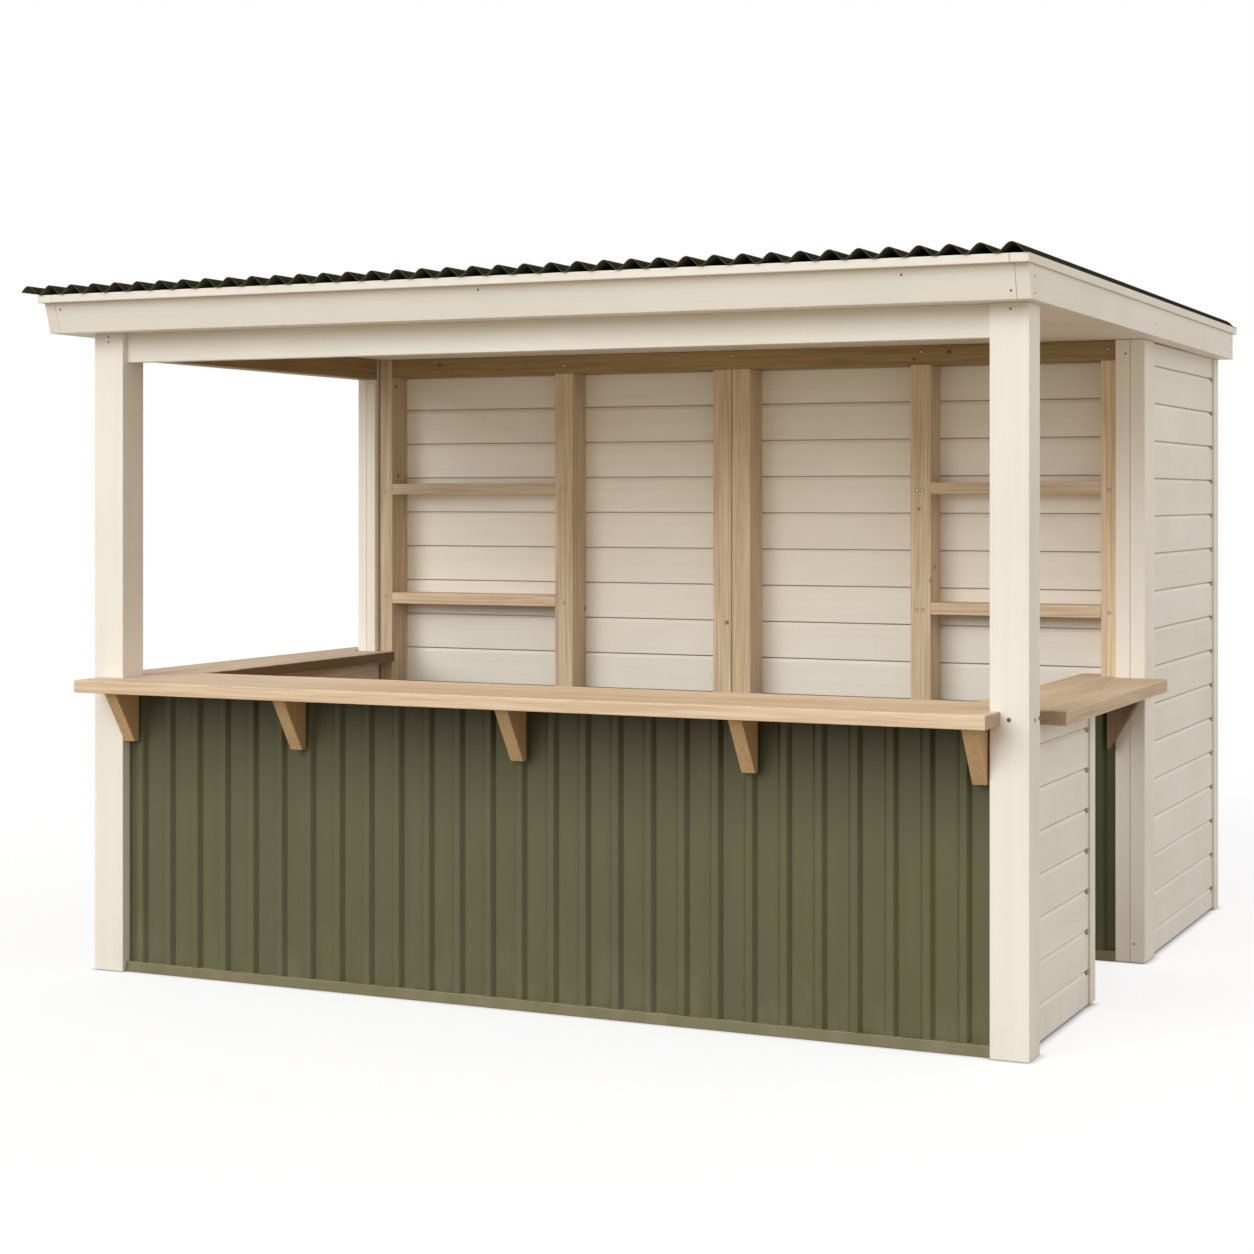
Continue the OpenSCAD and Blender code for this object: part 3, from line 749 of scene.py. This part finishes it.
@built_once("Lapped boards")
def repeat_tree(name):
    """Repeats one board up a wall and trims the stack to the wall's height."""
    w, entry, leave = new_tree(name, "GeometryNodeTree", {
        "Geometry": ("Geometry",), "Int": ("Count",), "Float": ("Pitch", "First", "Bottom", "Top"),
        "Material": ("Finish",)}, SHAPE)
    places = w.geometry("MeshLine", {
        "Count": entry["Count"], "Start Location": w.joined(Z=entry["First"]),
        "Offset": w.joined(Z=entry["Pitch"])})
    boards = w.geometry("InstanceOnPoints", {"Points": places, "Instance": entry["Geometry"]})
    whole = w.geometry("RealizeInstances", {0: boards})
    spot = w.split(w.geometry("InputPosition"))
    level = w.math("MINIMUM", w.math("MAXIMUM", spot["Z"], entry["Bottom"]), entry["Top"])
    moved = w.joined(X=spot["X"], Y=spot["Y"], Z=level)
    cut = w.geometry("SetPosition", {"Geometry": whole, "Position": moved})
    return end_tree(w, leave, cut, entry["Finish"])


@built_once("Folded sheet")
def sheet_tree(name):
    """Draws a folded edge out into a sheet and gives it its thickness."""
    w, entry, leave = new_tree(name, "GeometryNodeTree", {
        "Geometry": ("Edge",), "Vector": ("Run",), "Float": ("Thickness",), "Material": ("Finish",)}, SHAPE)
    drawn = w.geometry(
        "ExtrudeMesh", {"Mesh": entry["Edge"], "Offset": entry["Run"], "Offset Scale": 1.0}, mode="EDGES")
    thick = w.geometry("ExtrudeMesh", {
        "Mesh": drawn, "Offset Scale": entry["Thickness"], "Individual": False}, mode="FACES")
    both = w.add("GeometryNodeJoinGeometry")
    for side in (thick, w.geometry("FlipFaces", {"Mesh": drawn})):
        w.feed(both.inputs[0], side)
    closed = w.geometry("MergeByDistance", {"Geometry": both.outputs[0], "Distance": 0.00005})
    return end_tree(w, leave, closed, entry["Finish"])


def bent(w, entry, line, spot):
    """Line of points that is moved to its spots from the sheet's corner."""
    return w.geometry("SetPosition", {"Geometry": line, "Position": w.vector("ADD", spot, entry["Corner"])})


def fold(w, entry, leave, edge):
    """Ends a tree with the sheet that is folded from an edge."""
    inputs = {name: entry[name] for name in ("Run", "Thickness", "Finish")}
    w.feed(leave["Geometry"], w.geometry("Group", {"Edge": edge, **inputs}, node_tree=sheet_tree()))
    return w.tree


@built_once("Ribbed sheet")
def rib_tree(name):
    """Ribbed steel sheet: pans and raised ribs with rounded bends."""
    w, entry, leave = new_tree(name, "GeometryNodeTree", {
        "Geometry": ("Geometry",), "Int": ("Count",), "Vector": ("Corner", "Run"), "Material": ("Finish",),
        "Float": ("Pitch", "Face", "Flank", "Depth", "Length", "Bend", "Thickness")}, SHAPE)
    corners = w.math("ADD", w.math("MULTIPLY", entry["Count"], 4.0), 2.0)
    line = w.geometry("MeshLine", {"Count": corners, "Offset": (0.001, 0.0, 0.0)})
    index = w.math("SUBTRACT", w.geometry("InputIndex"), 1.0)
    rib = w.math("FLOOR", w.math("DIVIDE", index, 4.0))
    part = w.math("FLOORED_MODULO", index, 4.0)
    half = w.math("MULTIPLY", entry["Face"], 0.5)
    reach = w.math("ADD", half, entry["Flank"])
    upper = w.math("COMPARE", w.math("ABSOLUTE", w.math("SUBTRACT", part, 1.5)), 0.5)
    upper.node.inputs[2].default_value = 0.1
    side = w.math("SIGN", w.math("SUBTRACT", part, 1.5))
    width = w.total((upper, half), (w.math("SUBTRACT", 1.0, upper), reach))
    middle = w.math("MULTIPLY", w.math("ADD", rib, 0.5), entry["Pitch"])
    across = w.math("ADD", middle, w.math("MULTIPLY", side, width))
    first = w.math("LESS_THAN", index, -0.5)
    last = w.math("GREATER_THAN", index, w.math("SUBTRACT", corners, 2.5))
    inner = w.math("SUBTRACT", 1.0, w.math("MAXIMUM", first, last))
    across = w.total((across, inner), (last, entry["Length"]))
    out = w.math("MULTIPLY", w.math("MULTIPLY", upper, inner), w.math("MULTIPLY", entry["Depth"], -1.0))
    curve = w.geometry("MeshToCurve", {0: bent(w, entry, line, w.joined(X=across, Y=out))})
    soft = w.geometry("FilletCurve", {"Curve": curve, "Radius": entry["Bend"], "Count": 3}, mode="POLY")
    return fold(w, entry, leave, w.geometry("CurveToMesh", {"Curve": soft}))


@built_once("Corrugated sheet")
def wave_tree(name):
    """Corrugated steel sheet, laid from its left edge."""
    w, entry, leave = new_tree(name, "GeometryNodeTree", {
        "Geometry": ("Geometry",), "Int": ("Steps",), "Vector": ("Corner", "Run"), "Material": ("Finish",),
        "Float": ("Length", "Pitch", "Height", "First crest", "Thickness")}, SHAPE)
    points = w.math("ADD", entry["Steps"], 1.0)
    line = w.geometry("MeshLine", {"Count": points, "Offset": (0.001, 0.0, 0.0)})
    across = w.math("MULTIPLY", w.math("DIVIDE", w.geometry("InputIndex"), entry["Steps"]), entry["Length"])
    past = w.math("DIVIDE", w.math("SUBTRACT", across, entry["First crest"]), entry["Pitch"])
    wave = w.math("COSINE", w.math("MULTIPLY", past, 2 * math.pi))
    level = w.math("MULTIPLY", w.math("MULTIPLY", w.math("ADD", 1.0, wave), 0.5), entry["Height"])
    return fold(w, entry, leave, bent(w, entry, line, w.joined(X=across, Z=level)))


# A head's shape: shares of its radius at its face and its rim, and of its height in the rim
HEAD_FACE, HEAD_RIM, RIM_HEIGHT = 0.62, 1.4, 0.35


@built_once("Screw heads")
def screw_tree(name):
    """Sets a head in its rim on every point, turned to the point's outward direction; the rim is a dull disc
    of painted shade.
    """
    w, entry, leave = new_tree(name, "GeometryNodeTree", {
        "Geometry": ("Geometry",), "Float": ("Radius", "Height", "Shine"), "Material": ("Finish",)}, SHAPE)
    face = w.math("MULTIPLY", entry["Radius"], HEAD_FACE)
    rim = w.math("MULTIPLY", entry["Radius"], HEAD_RIM)
    low = w.math("MULTIPLY", entry["Height"], RIM_HEIGHT)
    both = w.add("GeometryNodeJoinGeometry")
    for foot, top, depth, shine in (
            (entry["Radius"], face, entry["Height"], entry["Shine"]), (rim, rim, low, 0.0)):
        cone = w.geometry("MeshCone", {
            "Vertices": 10, "Side Segments": 1, "Fill Segments": 1, "Radius Top": top, "Radius Bottom": foot,
            "Depth": depth})
        w.feed(both.inputs[0], w.geometry(
            "StoreNamedAttribute", {"Geometry": cone, "Name": "shine", "Value": shine},
            data_type="FLOAT", domain="POINT"))
    outward = w.geometry("InputNamedAttribute", {"Name": "outward"}, data_type="FLOAT_VECTOR")
    turn = w.add("FunctionNodeAlignRotationToVector", {"Vector": outward}, axis="Z").outputs[0]
    heads = w.geometry("InstanceOnPoints", {
        "Points": entry["Geometry"], "Instance": both.outputs[0], "Rotation": turn})
    return end_tree(w, leave, heads, entry["Finish"])


def smooth(mesh, angle):
    """Smooth shading but for folds sharper than an angle."""
    mesh.shade_smooth()
    mesh.set_sharp_from_angle(angle=math.radians(angle))


def outward_faces(mesh):
    """Turns all faces of a closed mesh outwards."""
    bm = bmesh.new()
    bm.from_mesh(mesh)
    bmesh.ops.recalc_face_normals(bm, faces=bm.faces)
    bm.to_mesh(mesh)
    bm.free()


# The bar's pieces

PAINTED_NODES = (
    "front_left_post", "front_right_post", "front_beam", "left_header_cover", "doorway_jamb",
    "left_corner_post", "right_corner_post", "left_back_trim", "right_back_trim")
TIMBER_NODES = (
    "left_header", "back_studs", "back_rail", "upper_left_shelf", "lower_left_shelf",
    "upper_right_shelf", "lower_right_shelf")
CORE_NODES = (
    "front_wall", "left_low_wall", "right_low_wall", "room_left_wall", "room_right_wall", "room_back_wall")
# Pieces that take the timber darkened by painted shade
PAINTED_SHADE_NODES = ("left_header", "back_rail")
COUNTER_NODES = ("front_counter", "left_counter", "right_counter")
# The brackets' oaks are darkened by painted shade
BRACKETS = (("front_brackets", "Bracket oak"), ("right_bracket", "Shaded oak"))
ROOF_TIMBER_NODES = ("ceiling", "front_fascia", "left_fascia", "right_fascia", "back_fascia", "roof_strips")
MITRED_NODES = ("front_fascia", "roof_strips")

# What is added to the seed for each group of boards, so that no two boards share their grain
TIMBER_SEED, COUNTER_SEED, BRACKET_SEED, WALL_SEED, ROOF_SEED = 40, 80, 90, 120, 160

# Ribbed sheets: node, sense in which the ribs are laid out, finish
# The back cladding takes the olive coat darkened by painted shade
RIBBED_SHEETS = (("front_cladding", 1, "Olive steel"), ("back_cladding", -1, "Inner steel"))
FLASHINGS = ("front_flashing", "back_flashing")
# Angles in degrees up to which a fold is shaded smooth, and points in each of the roof's waves
RIB_SMOOTH, WAVE_SMOOTH, WAVE_POINTS = 35, 50, 20

# Walls of weatherboards: node, axis of the boards, axis and sense of the outer face, pitch and first joint,
# and how dark the open joints are
LOW_COURSES = (0.137, 0.127)
ROOM_COURSES = (0.1418, 0.099)
BAR_COURSES = (0.146, 0.061)
# The last column darkens the open joints with bare wood and painted shade
BOARD_WALLS = (
    ("left_low_boards", 1, 0, -1, LOW_COURSES, 0.0),
    ("right_low_boards", 1, 0, 1, LOW_COURSES, 0.0),
    ("room_left_boards", 1, 0, -1, ROOM_COURSES, 0.0),
    ("room_right_boards", 1, 0, 1, ROOM_COURSES, 0.0),
    ("room_back_boards", 0, 1, 1, ROOM_COURSES, 0.0),
    ("back_boards", 0, 1, -1, BAR_COURSES, 0.6),
)
# Fine section of a weatherboard: chamfer of its lower edge, rounding under its slope, depth of the joint
CHAMFER = 0.0018
ROUND_HEIGHT, ROUND_DEPTH = 0.003, 0.0006
JOINT_RECESS = 0.006
# The notch at a lap's end: its distance from the wall, and its edge and floor under the foot of the slope
NOTCH_BACK, NOTCH_EDGE, NOTCH_FLOOR = 0.001, 0.0025, 0.0022
# Sides of the section that lie in the open joint and in the notch, counted from the back of its lower edge
JOINT_SIDES = (5, 6)
NOTCH_SIDES = (4, 5, 6, 7)

# Heads: piece, axis and sense of its face, and shares of the face's width and height where they sit
NAILS = (
    ("front_fascia_timber", 1, -1, ((0.0055, 0.78), (0.4875, 0.87), (0.90, 0.80), (0.9955, 0.25))),
    ("right_fascia_timber", 0, 1, (
        (0.0215, 0.71), (0.0215, 0.30), (0.54, 0.43), (0.985, 0.67), (0.985, 0.24))),
    ("front_left_post_timber", 1, -1, ((0.49, 0.995), (0.49, 0.987))),
    ("front_right_post_timber", 1, -1, ((0.53, 0.9915),)),
    ("right_corner_post_timber", 1, -1, ((0.35, 0.977), (0.63, 0.0305))),
)
POST_SCREWS = (
    ("front_right_post_timber", 1, -1, ((0.49, 0.4495),)),
    ("front_right_post_timber", 0, 1, ((0.53, 0.448), (0.90, 0.449))),
)
SCREWS = (
    ("back_rail_timber", 1, -1, ((0.2635, 0.42), (0.503, 0.70), (0.756, 0.66), (0.989, 0.56))),
    ("back_studs_timber", 1, -1, (
        (0.0093, 0.991), (0.0093, 0.757), (0.0093, 0.565), (0.275, 0.763), (0.2766, 0.558), (0.7554, 0.7586),
        (0.7618, 0.7586), (0.7554, 0.558), (0.763, 0.5585), (0.991, 0.758), (0.991, 0.5596))),
)
# Pieces of heads: name, places, setting of the radius, brightness, which is partly a painted glint
HEADS = (
    ("nail_heads", NAILS, "nail_radius", 0.15), ("post_screws", POST_SCREWS, "screw_radius", 0.1),
    ("screw_heads", SCREWS, "screw_radius", 1.0))


class GARDENBAR_OT_painted_frame(Operator):
    """Painted posts, beam, trims and jamb"""
    bl_idname = "garden_bar.painted_frame"
    bl_label = "Painted frame"

    def execute(self, context):
        b = settings().boards
        for place, node in enumerate(PAINTED_NODES):
            corner = "corner_post" in node
            width = b.post_edge if corner else b.paint_edge
            board_piece(node, "Cream paint", width, b.seed + place, fine=corner)
        return {"FINISHED"}


class GARDENBAR_OT_bare_timber(Operator):
    """Studs, rail, shelves and wall cores of bare timber"""
    bl_idname = "garden_bar.bare_timber"
    bl_label = "Bare timber"

    def execute(self, context):
        b = settings().boards
        for place, node in enumerate(TIMBER_NODES + CORE_NODES):
            # The left header and back rail take the timber darkened by painted shade
            coat = "Shaded timber" if node in PAINTED_SHADE_NODES else "Treated timber"
            joint = b.stud_joint if node == "back_studs" else 0.0
            board_piece(node, coat, b.timber_edge, b.seed + TIMBER_SEED + place, joint=joint)
        return {"FINISHED"}


class GARDENBAR_OT_counters(Operator):
    """Counter boards and the brackets that carry them"""
    bl_idname = "garden_bar.counters"
    bl_label = "Counters"

    def execute(self, context):
        b = settings().boards
        for place, node in enumerate(COUNTER_NODES):
            board_piece(node, "Oiled oak", b.counter_edge, b.seed + COUNTER_SEED + place)
        for place, (node, coat) in enumerate(BRACKETS):
            board_piece(node, coat, b.timber_edge, b.seed + BRACKET_SEED + place, axis=2)
        return {"FINISHED"}


class GARDENBAR_OT_weatherboards(Operator):
    """Lapped weatherboards on the walls"""
    bl_idname = "garden_bar.weatherboards"
    bl_label = "Weatherboards"

    def profile(self, pitch, notched):
        """Section of one board: distance from the wall, and height."""
        b = settings().boards
        shoulder = pitch - b.joint
        foot = pitch - b.slope
        inner = NOTCH_BACK if notched else b.lip - b.step - JOINT_RECESS
        slope = [(b.lip - ROUND_DEPTH, foot), (b.lip - b.step, shoulder)]
        if notched:
            slope = [(b.lip, foot - NOTCH_EDGE), (inner, foot - NOTCH_FLOOR)]
        return [
            (0.0, 0.0), (b.lip - CHAMFER, 0.0), (b.lip, CHAMFER), (b.lip, foot - ROUND_HEIGHT),
            *slope, (inner, shoulder), (inner, pitch), (0.0, pitch)]

    def board(self, low, high, along, out, sense, pitch, tone):
        """One board of a wall, with its lower edge at zero height and a notch at its far end."""
        b = settings().boards
        back = low[out] if sense > 0 else high[out]
        first, last = low[along] + b.end_gap, high[along] - b.end_gap
        bm = bmesh.new()
        gap = bm.faces.layers.float.new("gap")
        rows = []
        for end, notched in ((first, False), (last - b.notch, False), (last - b.notch, True), (last, True)):
            row = []
            for depth, level in self.profile(pitch, notched):
                spot = Vector((0.0, 0.0, level))
                spot[along] = end
                spot[out] = back + sense * depth
                row.append(bm.verts.new(spot))
            rows.append(row)
        count = len(rows[0])
        # Joint and notch faces take the dark joint colour: bare wood and painted shade
        plain = {k: tone for k in JOINT_SIDES}
        step = {k: 1.0 for k in range(count)}
        notch = {k: 1.0 for k in NOTCH_SIDES}
        for near, far, depths in zip(rows, rows[1:], (plain, step, notch)):
            for k in range(count):
                face = bm.faces.new((near[k], near[(k + 1) % count], far[(k + 1) % count], far[k]))
                face[gap] = depths.get(k, 0.0)
        bm.faces.new(rows[0])
        bm.faces.new(rows[-1])
        bmesh.ops.remove_doubles(bm, verts=bm.verts, dist=1e-6)
        bmesh.ops.recalc_face_normals(bm, faces=bm.faces)
        return finish_mesh(bm, "board")

    def execute(self, context):
        b = settings().boards
        for place, (node, along, out, sense, (pitch, first), tone) in enumerate(BOARD_WALLS):
            low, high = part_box(node)
            count = math.ceil((high.z - first) / pitch) + 1
            mesh = grown(node, repeat_tree(), {
                "Count": count, "Pitch": pitch, "First": first - pitch, "Bottom": low.z, "Top": high.z,
                "Finish": finish("Cream paint")}, self.board(low, high, along, out, sense, pitch, tone))
            bm = bmesh.new()
            bm.from_mesh(mesh)
            set_grain(bm, b.seed + WALL_SEED + place, along)
            bm.to_mesh(mesh)
            bm.free()
            add_piece(f"{node}_lapped", mesh, "Cream paint", [node])
        return {"FINISHED"}


class GARDENBAR_OT_cladding(Operator):
    """Ribbed steel cladding and the flashing at its foot"""
    bl_idname = "garden_bar.cladding"
    bl_label = "Ribbed cladding"

    def execute(self, context):
        s = settings().steel
        for node, sense, coat in RIBBED_SHEETS:
            low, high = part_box(node)
            length = high.x - low.x
            start = low.x if sense > 0 else high.x
            mesh = grown(node, rib_tree(), {
                "Count": math.floor(length / s.rib_pitch), "Pitch": sense * s.rib_pitch,
                "Face": sense * s.rib_face, "Flank": sense * s.rib_flank, "Length": sense * length,
                "Depth": high.y - low.y - s.clad_sheet, "Bend": s.bend, "Corner": (start, high.y, low.z),
                "Run": (0.0, 0.0, high.z - low.z), "Thickness": -sense * s.clad_sheet,
                "Finish": finish(coat)})
            outward_faces(mesh)
            smooth(mesh, RIB_SMOOTH)
            add_piece(f"{node}_ribbed", mesh, coat, [node])
        for node in FLASHINGS:
            bm = solid_copy(node)
            round_edges(bm, s.fold)
            # The top ledge is marked like an edge, so it takes the painted highlight
            edge = bm.faces.layers.float["edge"]
            for face in bm.faces:
                if face.normal.z > TOP_FACING:
                    face[edge] = 1.0
            add_piece(f"{node}_folded", finish_mesh(bm, node), "Flashing steel", [node])
        return {"FINISHED"}


class GARDENBAR_OT_roof(Operator):
    """Ceiling, fascia boards, strips and the corrugated roof sheet"""
    bl_idname = "garden_bar.roof"
    bl_label = "Roof"

    def execute(self, context):
        b, s = settings().boards, settings().steel
        for place, node in enumerate(ROOF_TIMBER_NODES):
            gap = b.mitre_gap if node in MITRED_NODES else 0.0
            board_piece(node, "Cream paint", b.paint_edge, b.seed + ROOF_SEED + place, gap=gap)
        corners = [v.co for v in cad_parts["roof_sheet"].data.vertices]
        low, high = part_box("roof_sheet")
        width = high.x - low.x
        front = min((c for c in corners if c.y < low.y + NEAR), key=lambda c: c.z)
        back = min((c for c in corners if c.y > high.y - NEAR), key=lambda c: c.z)
        mesh = grown("roof_sheet", wave_tree(), {
            "Steps": math.ceil(width / s.wave_pitch * WAVE_POINTS), "Length": width, "Pitch": s.wave_pitch,
            "Height": s.wave_height, "First crest": s.wave_first, "Corner": (low.x, front.y, front.z),
            "Run": (0.0, back.y - front.y, back.z - front.z), "Thickness": -s.roof_sheet,
            "Finish": finish("Roof coating")})
        outward_faces(mesh)
        # Underside faces take the paler coat: painted light
        under = mesh.attributes.new("under", "FLOAT", "FACE")
        for item, face in zip(under.data, mesh.polygons):
            item.value = 1.0 if face.normal.z < UNDER_FACING else 0.0
        # Place in the wave, for the painted highlight on crests and the painted shade in valleys
        crest = mesh.attributes.new("crest", "FLOAT", "POINT")
        for item, vert in zip(crest.data, mesh.vertices):
            turn = (vert.co.x - low.x - s.wave_first) / s.wave_pitch
            item.value = 0.5 + 0.5 * math.cos(2 * math.pi * turn)
        smooth(mesh, WAVE_SMOOTH)
        add_piece("roof_sheet_waved", mesh, "Roof coating", ["roof_sheet"])
        return {"FINISHED"}


class GARDENBAR_OT_screws(Operator):
    """Nails and screws that show in the posts, fascia boards, rail and studs"""
    bl_idname = "garden_bar.screws"
    bl_label = "Screws"

    def spots(self, table):
        """Places and directions of the heads in a table, found on the faces of the finished pieces."""
        for name, axis, sense, shares in table:
            piece = bpy.data.objects[name]
            low, high = span(piece.bound_box)
            across = 1 - axis
            inward = Vector((0.0, 0.0, 0.0))
            inward[axis] = -sense
            for wide, tall in shares:
                start = high.copy() if sense > 0 else low.copy()
                start[across] = low[across] + wide * (high[across] - low[across])
                start.z = low.z + tall * (high.z - low.z)
                hit, place, normal, _ = piece.ray_cast(start - inward, inward)
                if not hit:
                    raise RuntimeError(f"a screw misses {name} at {wide}, {tall}")
                yield place, normal

    def execute(self, context):
        b = settings().boards
        for name, table, radius, shine in HEADS:
            spots = list(self.spots(table))
            mesh = bpy.data.meshes.new(name)
            mesh.from_pydata([place for place, _ in spots], [], [])
            outward = mesh.attributes.new("outward", "FLOAT_VECTOR", "POINT")
            for item, (_, normal) in zip(outward.data, spots):
                item.vector = normal
            made = grown(name, screw_tree(), {
                "Radius": getattr(b, radius), "Height": b.screw_height, "Shine": shine,
                "Finish": finish("Screw zinc")}, mesh)
            add_piece(name, made, "Screw zinc")
        return {"FINISHED"}


# Stage

WHITE = (1.0, 1.0, 1.0, 1.0)
# Floor: half its side, how far it lies under the bar, its colours to the bar and to the camera, its glow,
# and the reach of the shade at the bar's foot
FLOOR_HALF, FLOOR_DROP = 40.0, 0.001
FLOOR_WARM, FLOOR_GREY = (0.41, 0.34, 0.25, 1.0), (0.26, 0.26, 0.26, 1.0)
FLOOR_GLOW, FOOT_SHADE = 0.76, 0.03
# Lamps: directions and colours, the spread of the key, and the place and size of the fill
SKY_COLOUR = (1.0, 0.985, 0.95, 1.0)
KEY_AIM, KEY_COLOUR, KEY_SPREAD = (0.31, 0.85, -0.43), (0.97, 1.0, 1.0), math.radians(42)
FILL_AIM, FILL_COLOUR = (0.0, 1.0, -1.0), (1.0, 0.92, 0.80)
FILL_PLACE, FILL_WIDTH, FILL_HEIGHT = (0.0, -1.05, 1.7), 3.0, 0.6


def seen_directly(w):
    """One for a ray that shows the background to the camera, also off metal or through glass."""
    path = w.add("ShaderNodeLightPath").outputs
    seen = w.math("MAXIMUM", path["Is Camera Ray"], path["Is Glossy Ray"])
    return w.math("MAXIMUM", seen, path["Is Transmission Ray"])


class GARDENBAR_OT_stage(Operator):
    """Floor, light and camera"""
    bl_idname = "garden_bar.stage"
    bl_label = "Stage"

    def floor(self):
        """Pale floor that keeps the soft shadow of the bar."""
        bm = bmesh.new()
        bmesh.ops.create_grid(bm, x_segments=1, y_segments=1, size=FLOOR_HALF)
        bmesh.ops.translate(bm, verts=bm.verts, vec=(0.0, 0.0, -FLOOR_DROP))
        piece = new_object("floor", finish_mesh(bm, "floor"))
        material, w, shader = new_finish("floor_white")
        seen = seen_directly(w)
        w.feed(shader.inputs["Base Color"], w.blend(seen, FLOOR_WARM, FLOOR_GREY))
        shader.inputs["Roughness"].default_value = 0.9
        shader.inputs["Specular IOR Level"].default_value = 0.0
        shader.inputs["Emission Color"].default_value = WHITE
        close = w.add("ShaderNodeAmbientOcclusion", {"Distance": FOOT_SHADE}, samples=8).outputs["AO"]
        glow = w.math("MULTIPLY", w.math("MULTIPLY", seen, FLOOR_GLOW), close)
        w.feed(shader.inputs["Emission Strength"], glow)
        piece.data.materials.append(material)

    def world(self):
        """Light from all sides, and white where the camera looks past the bar."""
        stage = settings().stage
        world = bpy.context.scene.world or bpy.data.worlds.new("studio")
        bpy.context.scene.world = world
        world.use_nodes = True
        world.node_tree.nodes.clear()
        w = Wiring(world.node_tree)
        ray = w.split(w.add("ShaderNodeTexCoord").outputs["Generated"])
        side = w.math("MULTIPLY", w.math("MAXIMUM", ray["X"], 0.0), stage.side)
        sky = w.math("MULTIPLY", w.math("MAXIMUM", ray["Z"], 0.0), stage.sky)
        strength = w.math("ADD", w.math("ADD", side, sky), stage.ambient)
        light = w.add("ShaderNodeBackground", {"Color": SKY_COLOUR, "Strength": strength})
        white = w.add("ShaderNodeBackground", {"Color": WHITE, "Strength": 1.0})
        mixed = w.add("ShaderNodeMixShader", {0: seen_directly(w), 1: light.outputs[0], 2: white.outputs[0]})
        w.add("ShaderNodeOutputWorld", {0: mixed.outputs[0]})

    def lamp(self, name, kind, energy, aim, colour):
        """Lamp that shines in a direction."""
        lamp = bpy.data.lights.new(name, kind)
        lamp.energy = energy
        lamp.color = colour
        piece = new_object(name, lamp)
        piece.rotation_euler = Vector(aim).to_track_quat("-Z", "Y").to_euler()
        return piece

    def lamps(self):
        """Soft low key from the front left, and a weak warm fill over the counter for the shelves."""
        stage = settings().stage
        key = self.lamp("key", "SUN", stage.key, KEY_AIM, KEY_COLOUR)
        key.data.angle = KEY_SPREAD
        fill = self.lamp("fill", "AREA", stage.fill, FILL_AIM, FILL_COLOUR)
        fill.location = FILL_PLACE
        fill.data.shape = "RECTANGLE"
        fill.data.size = FILL_WIDTH
        fill.data.size_y = FILL_HEIGHT

    def camera(self):
        """Camera at eye height before the right front corner."""
        stage = settings().stage
        view = bpy.data.cameras.new("view")
        view.lens = stage.lens
        view.sensor_fit = "HORIZONTAL"
        view.sensor_width = 36.0
        view.shift_y = stage.rise
        view.clip_end = 200.0
        piece = new_object("view", view)
        piece.location = stage.eye
        piece.rotation_euler = (math.radians(90), 0.0, stage.turn)
        bpy.context.scene.camera = piece

    def execute(self, context):
        self.floor()
        self.world()
        self.lamps()
        self.camera()
        context.scene.view_settings.view_transform = "Standard"
        return {"FINISHED"}


STEPS = (
    GARDENBAR_OT_painted_frame, GARDENBAR_OT_bare_timber, GARDENBAR_OT_counters, GARDENBAR_OT_weatherboards,
    GARDENBAR_OT_cladding, GARDENBAR_OT_roof, GARDENBAR_OT_screws, GARDENBAR_OT_stage)


class GARDENBAR_PT_dressing(Panel):
    """Lists the steps of the dressing and its settings"""
    bl_idname = "GARDENBAR_PT_dressing"
    bl_label = "Garden bar"
    bl_space_type = "VIEW_3D"
    bl_region_type = "UI"
    bl_category = "Garden bar"

    def draw(self, context):
        for step in STEPS:
            self.layout.operator(step.bl_idname)
        for group in (settings().finishes, settings().boards, settings().steel, settings().stage):
            column = self.layout.column()
            for name in group.__annotations__:
                column.prop(group, name)


GROUPS = (GardenBarFinishes, GardenBarBoards, GardenBarSteel, GardenBarStage, GardenBarSettings)


def register():
    """Registers the settings, the steps and the panel."""
    for kind in GROUPS + STEPS + (GARDENBAR_PT_dressing,):
        bpy.utils.register_class(kind)
    bpy.types.Scene.garden_bar = PointerProperty(type=GardenBarSettings)


def unregister():
    """Removes what register added."""
    del bpy.types.Scene.garden_bar
    for kind in reversed(GROUPS + STEPS + (GARDENBAR_PT_dressing,)):
        bpy.utils.unregister_class(kind)


def main():
    """Runs every step."""
    register()
    for step in STEPS:
        group, name = step.bl_idname.split(".")
        getattr(getattr(bpy.ops, group), name)()


if __name__ == "__main__":
    main()
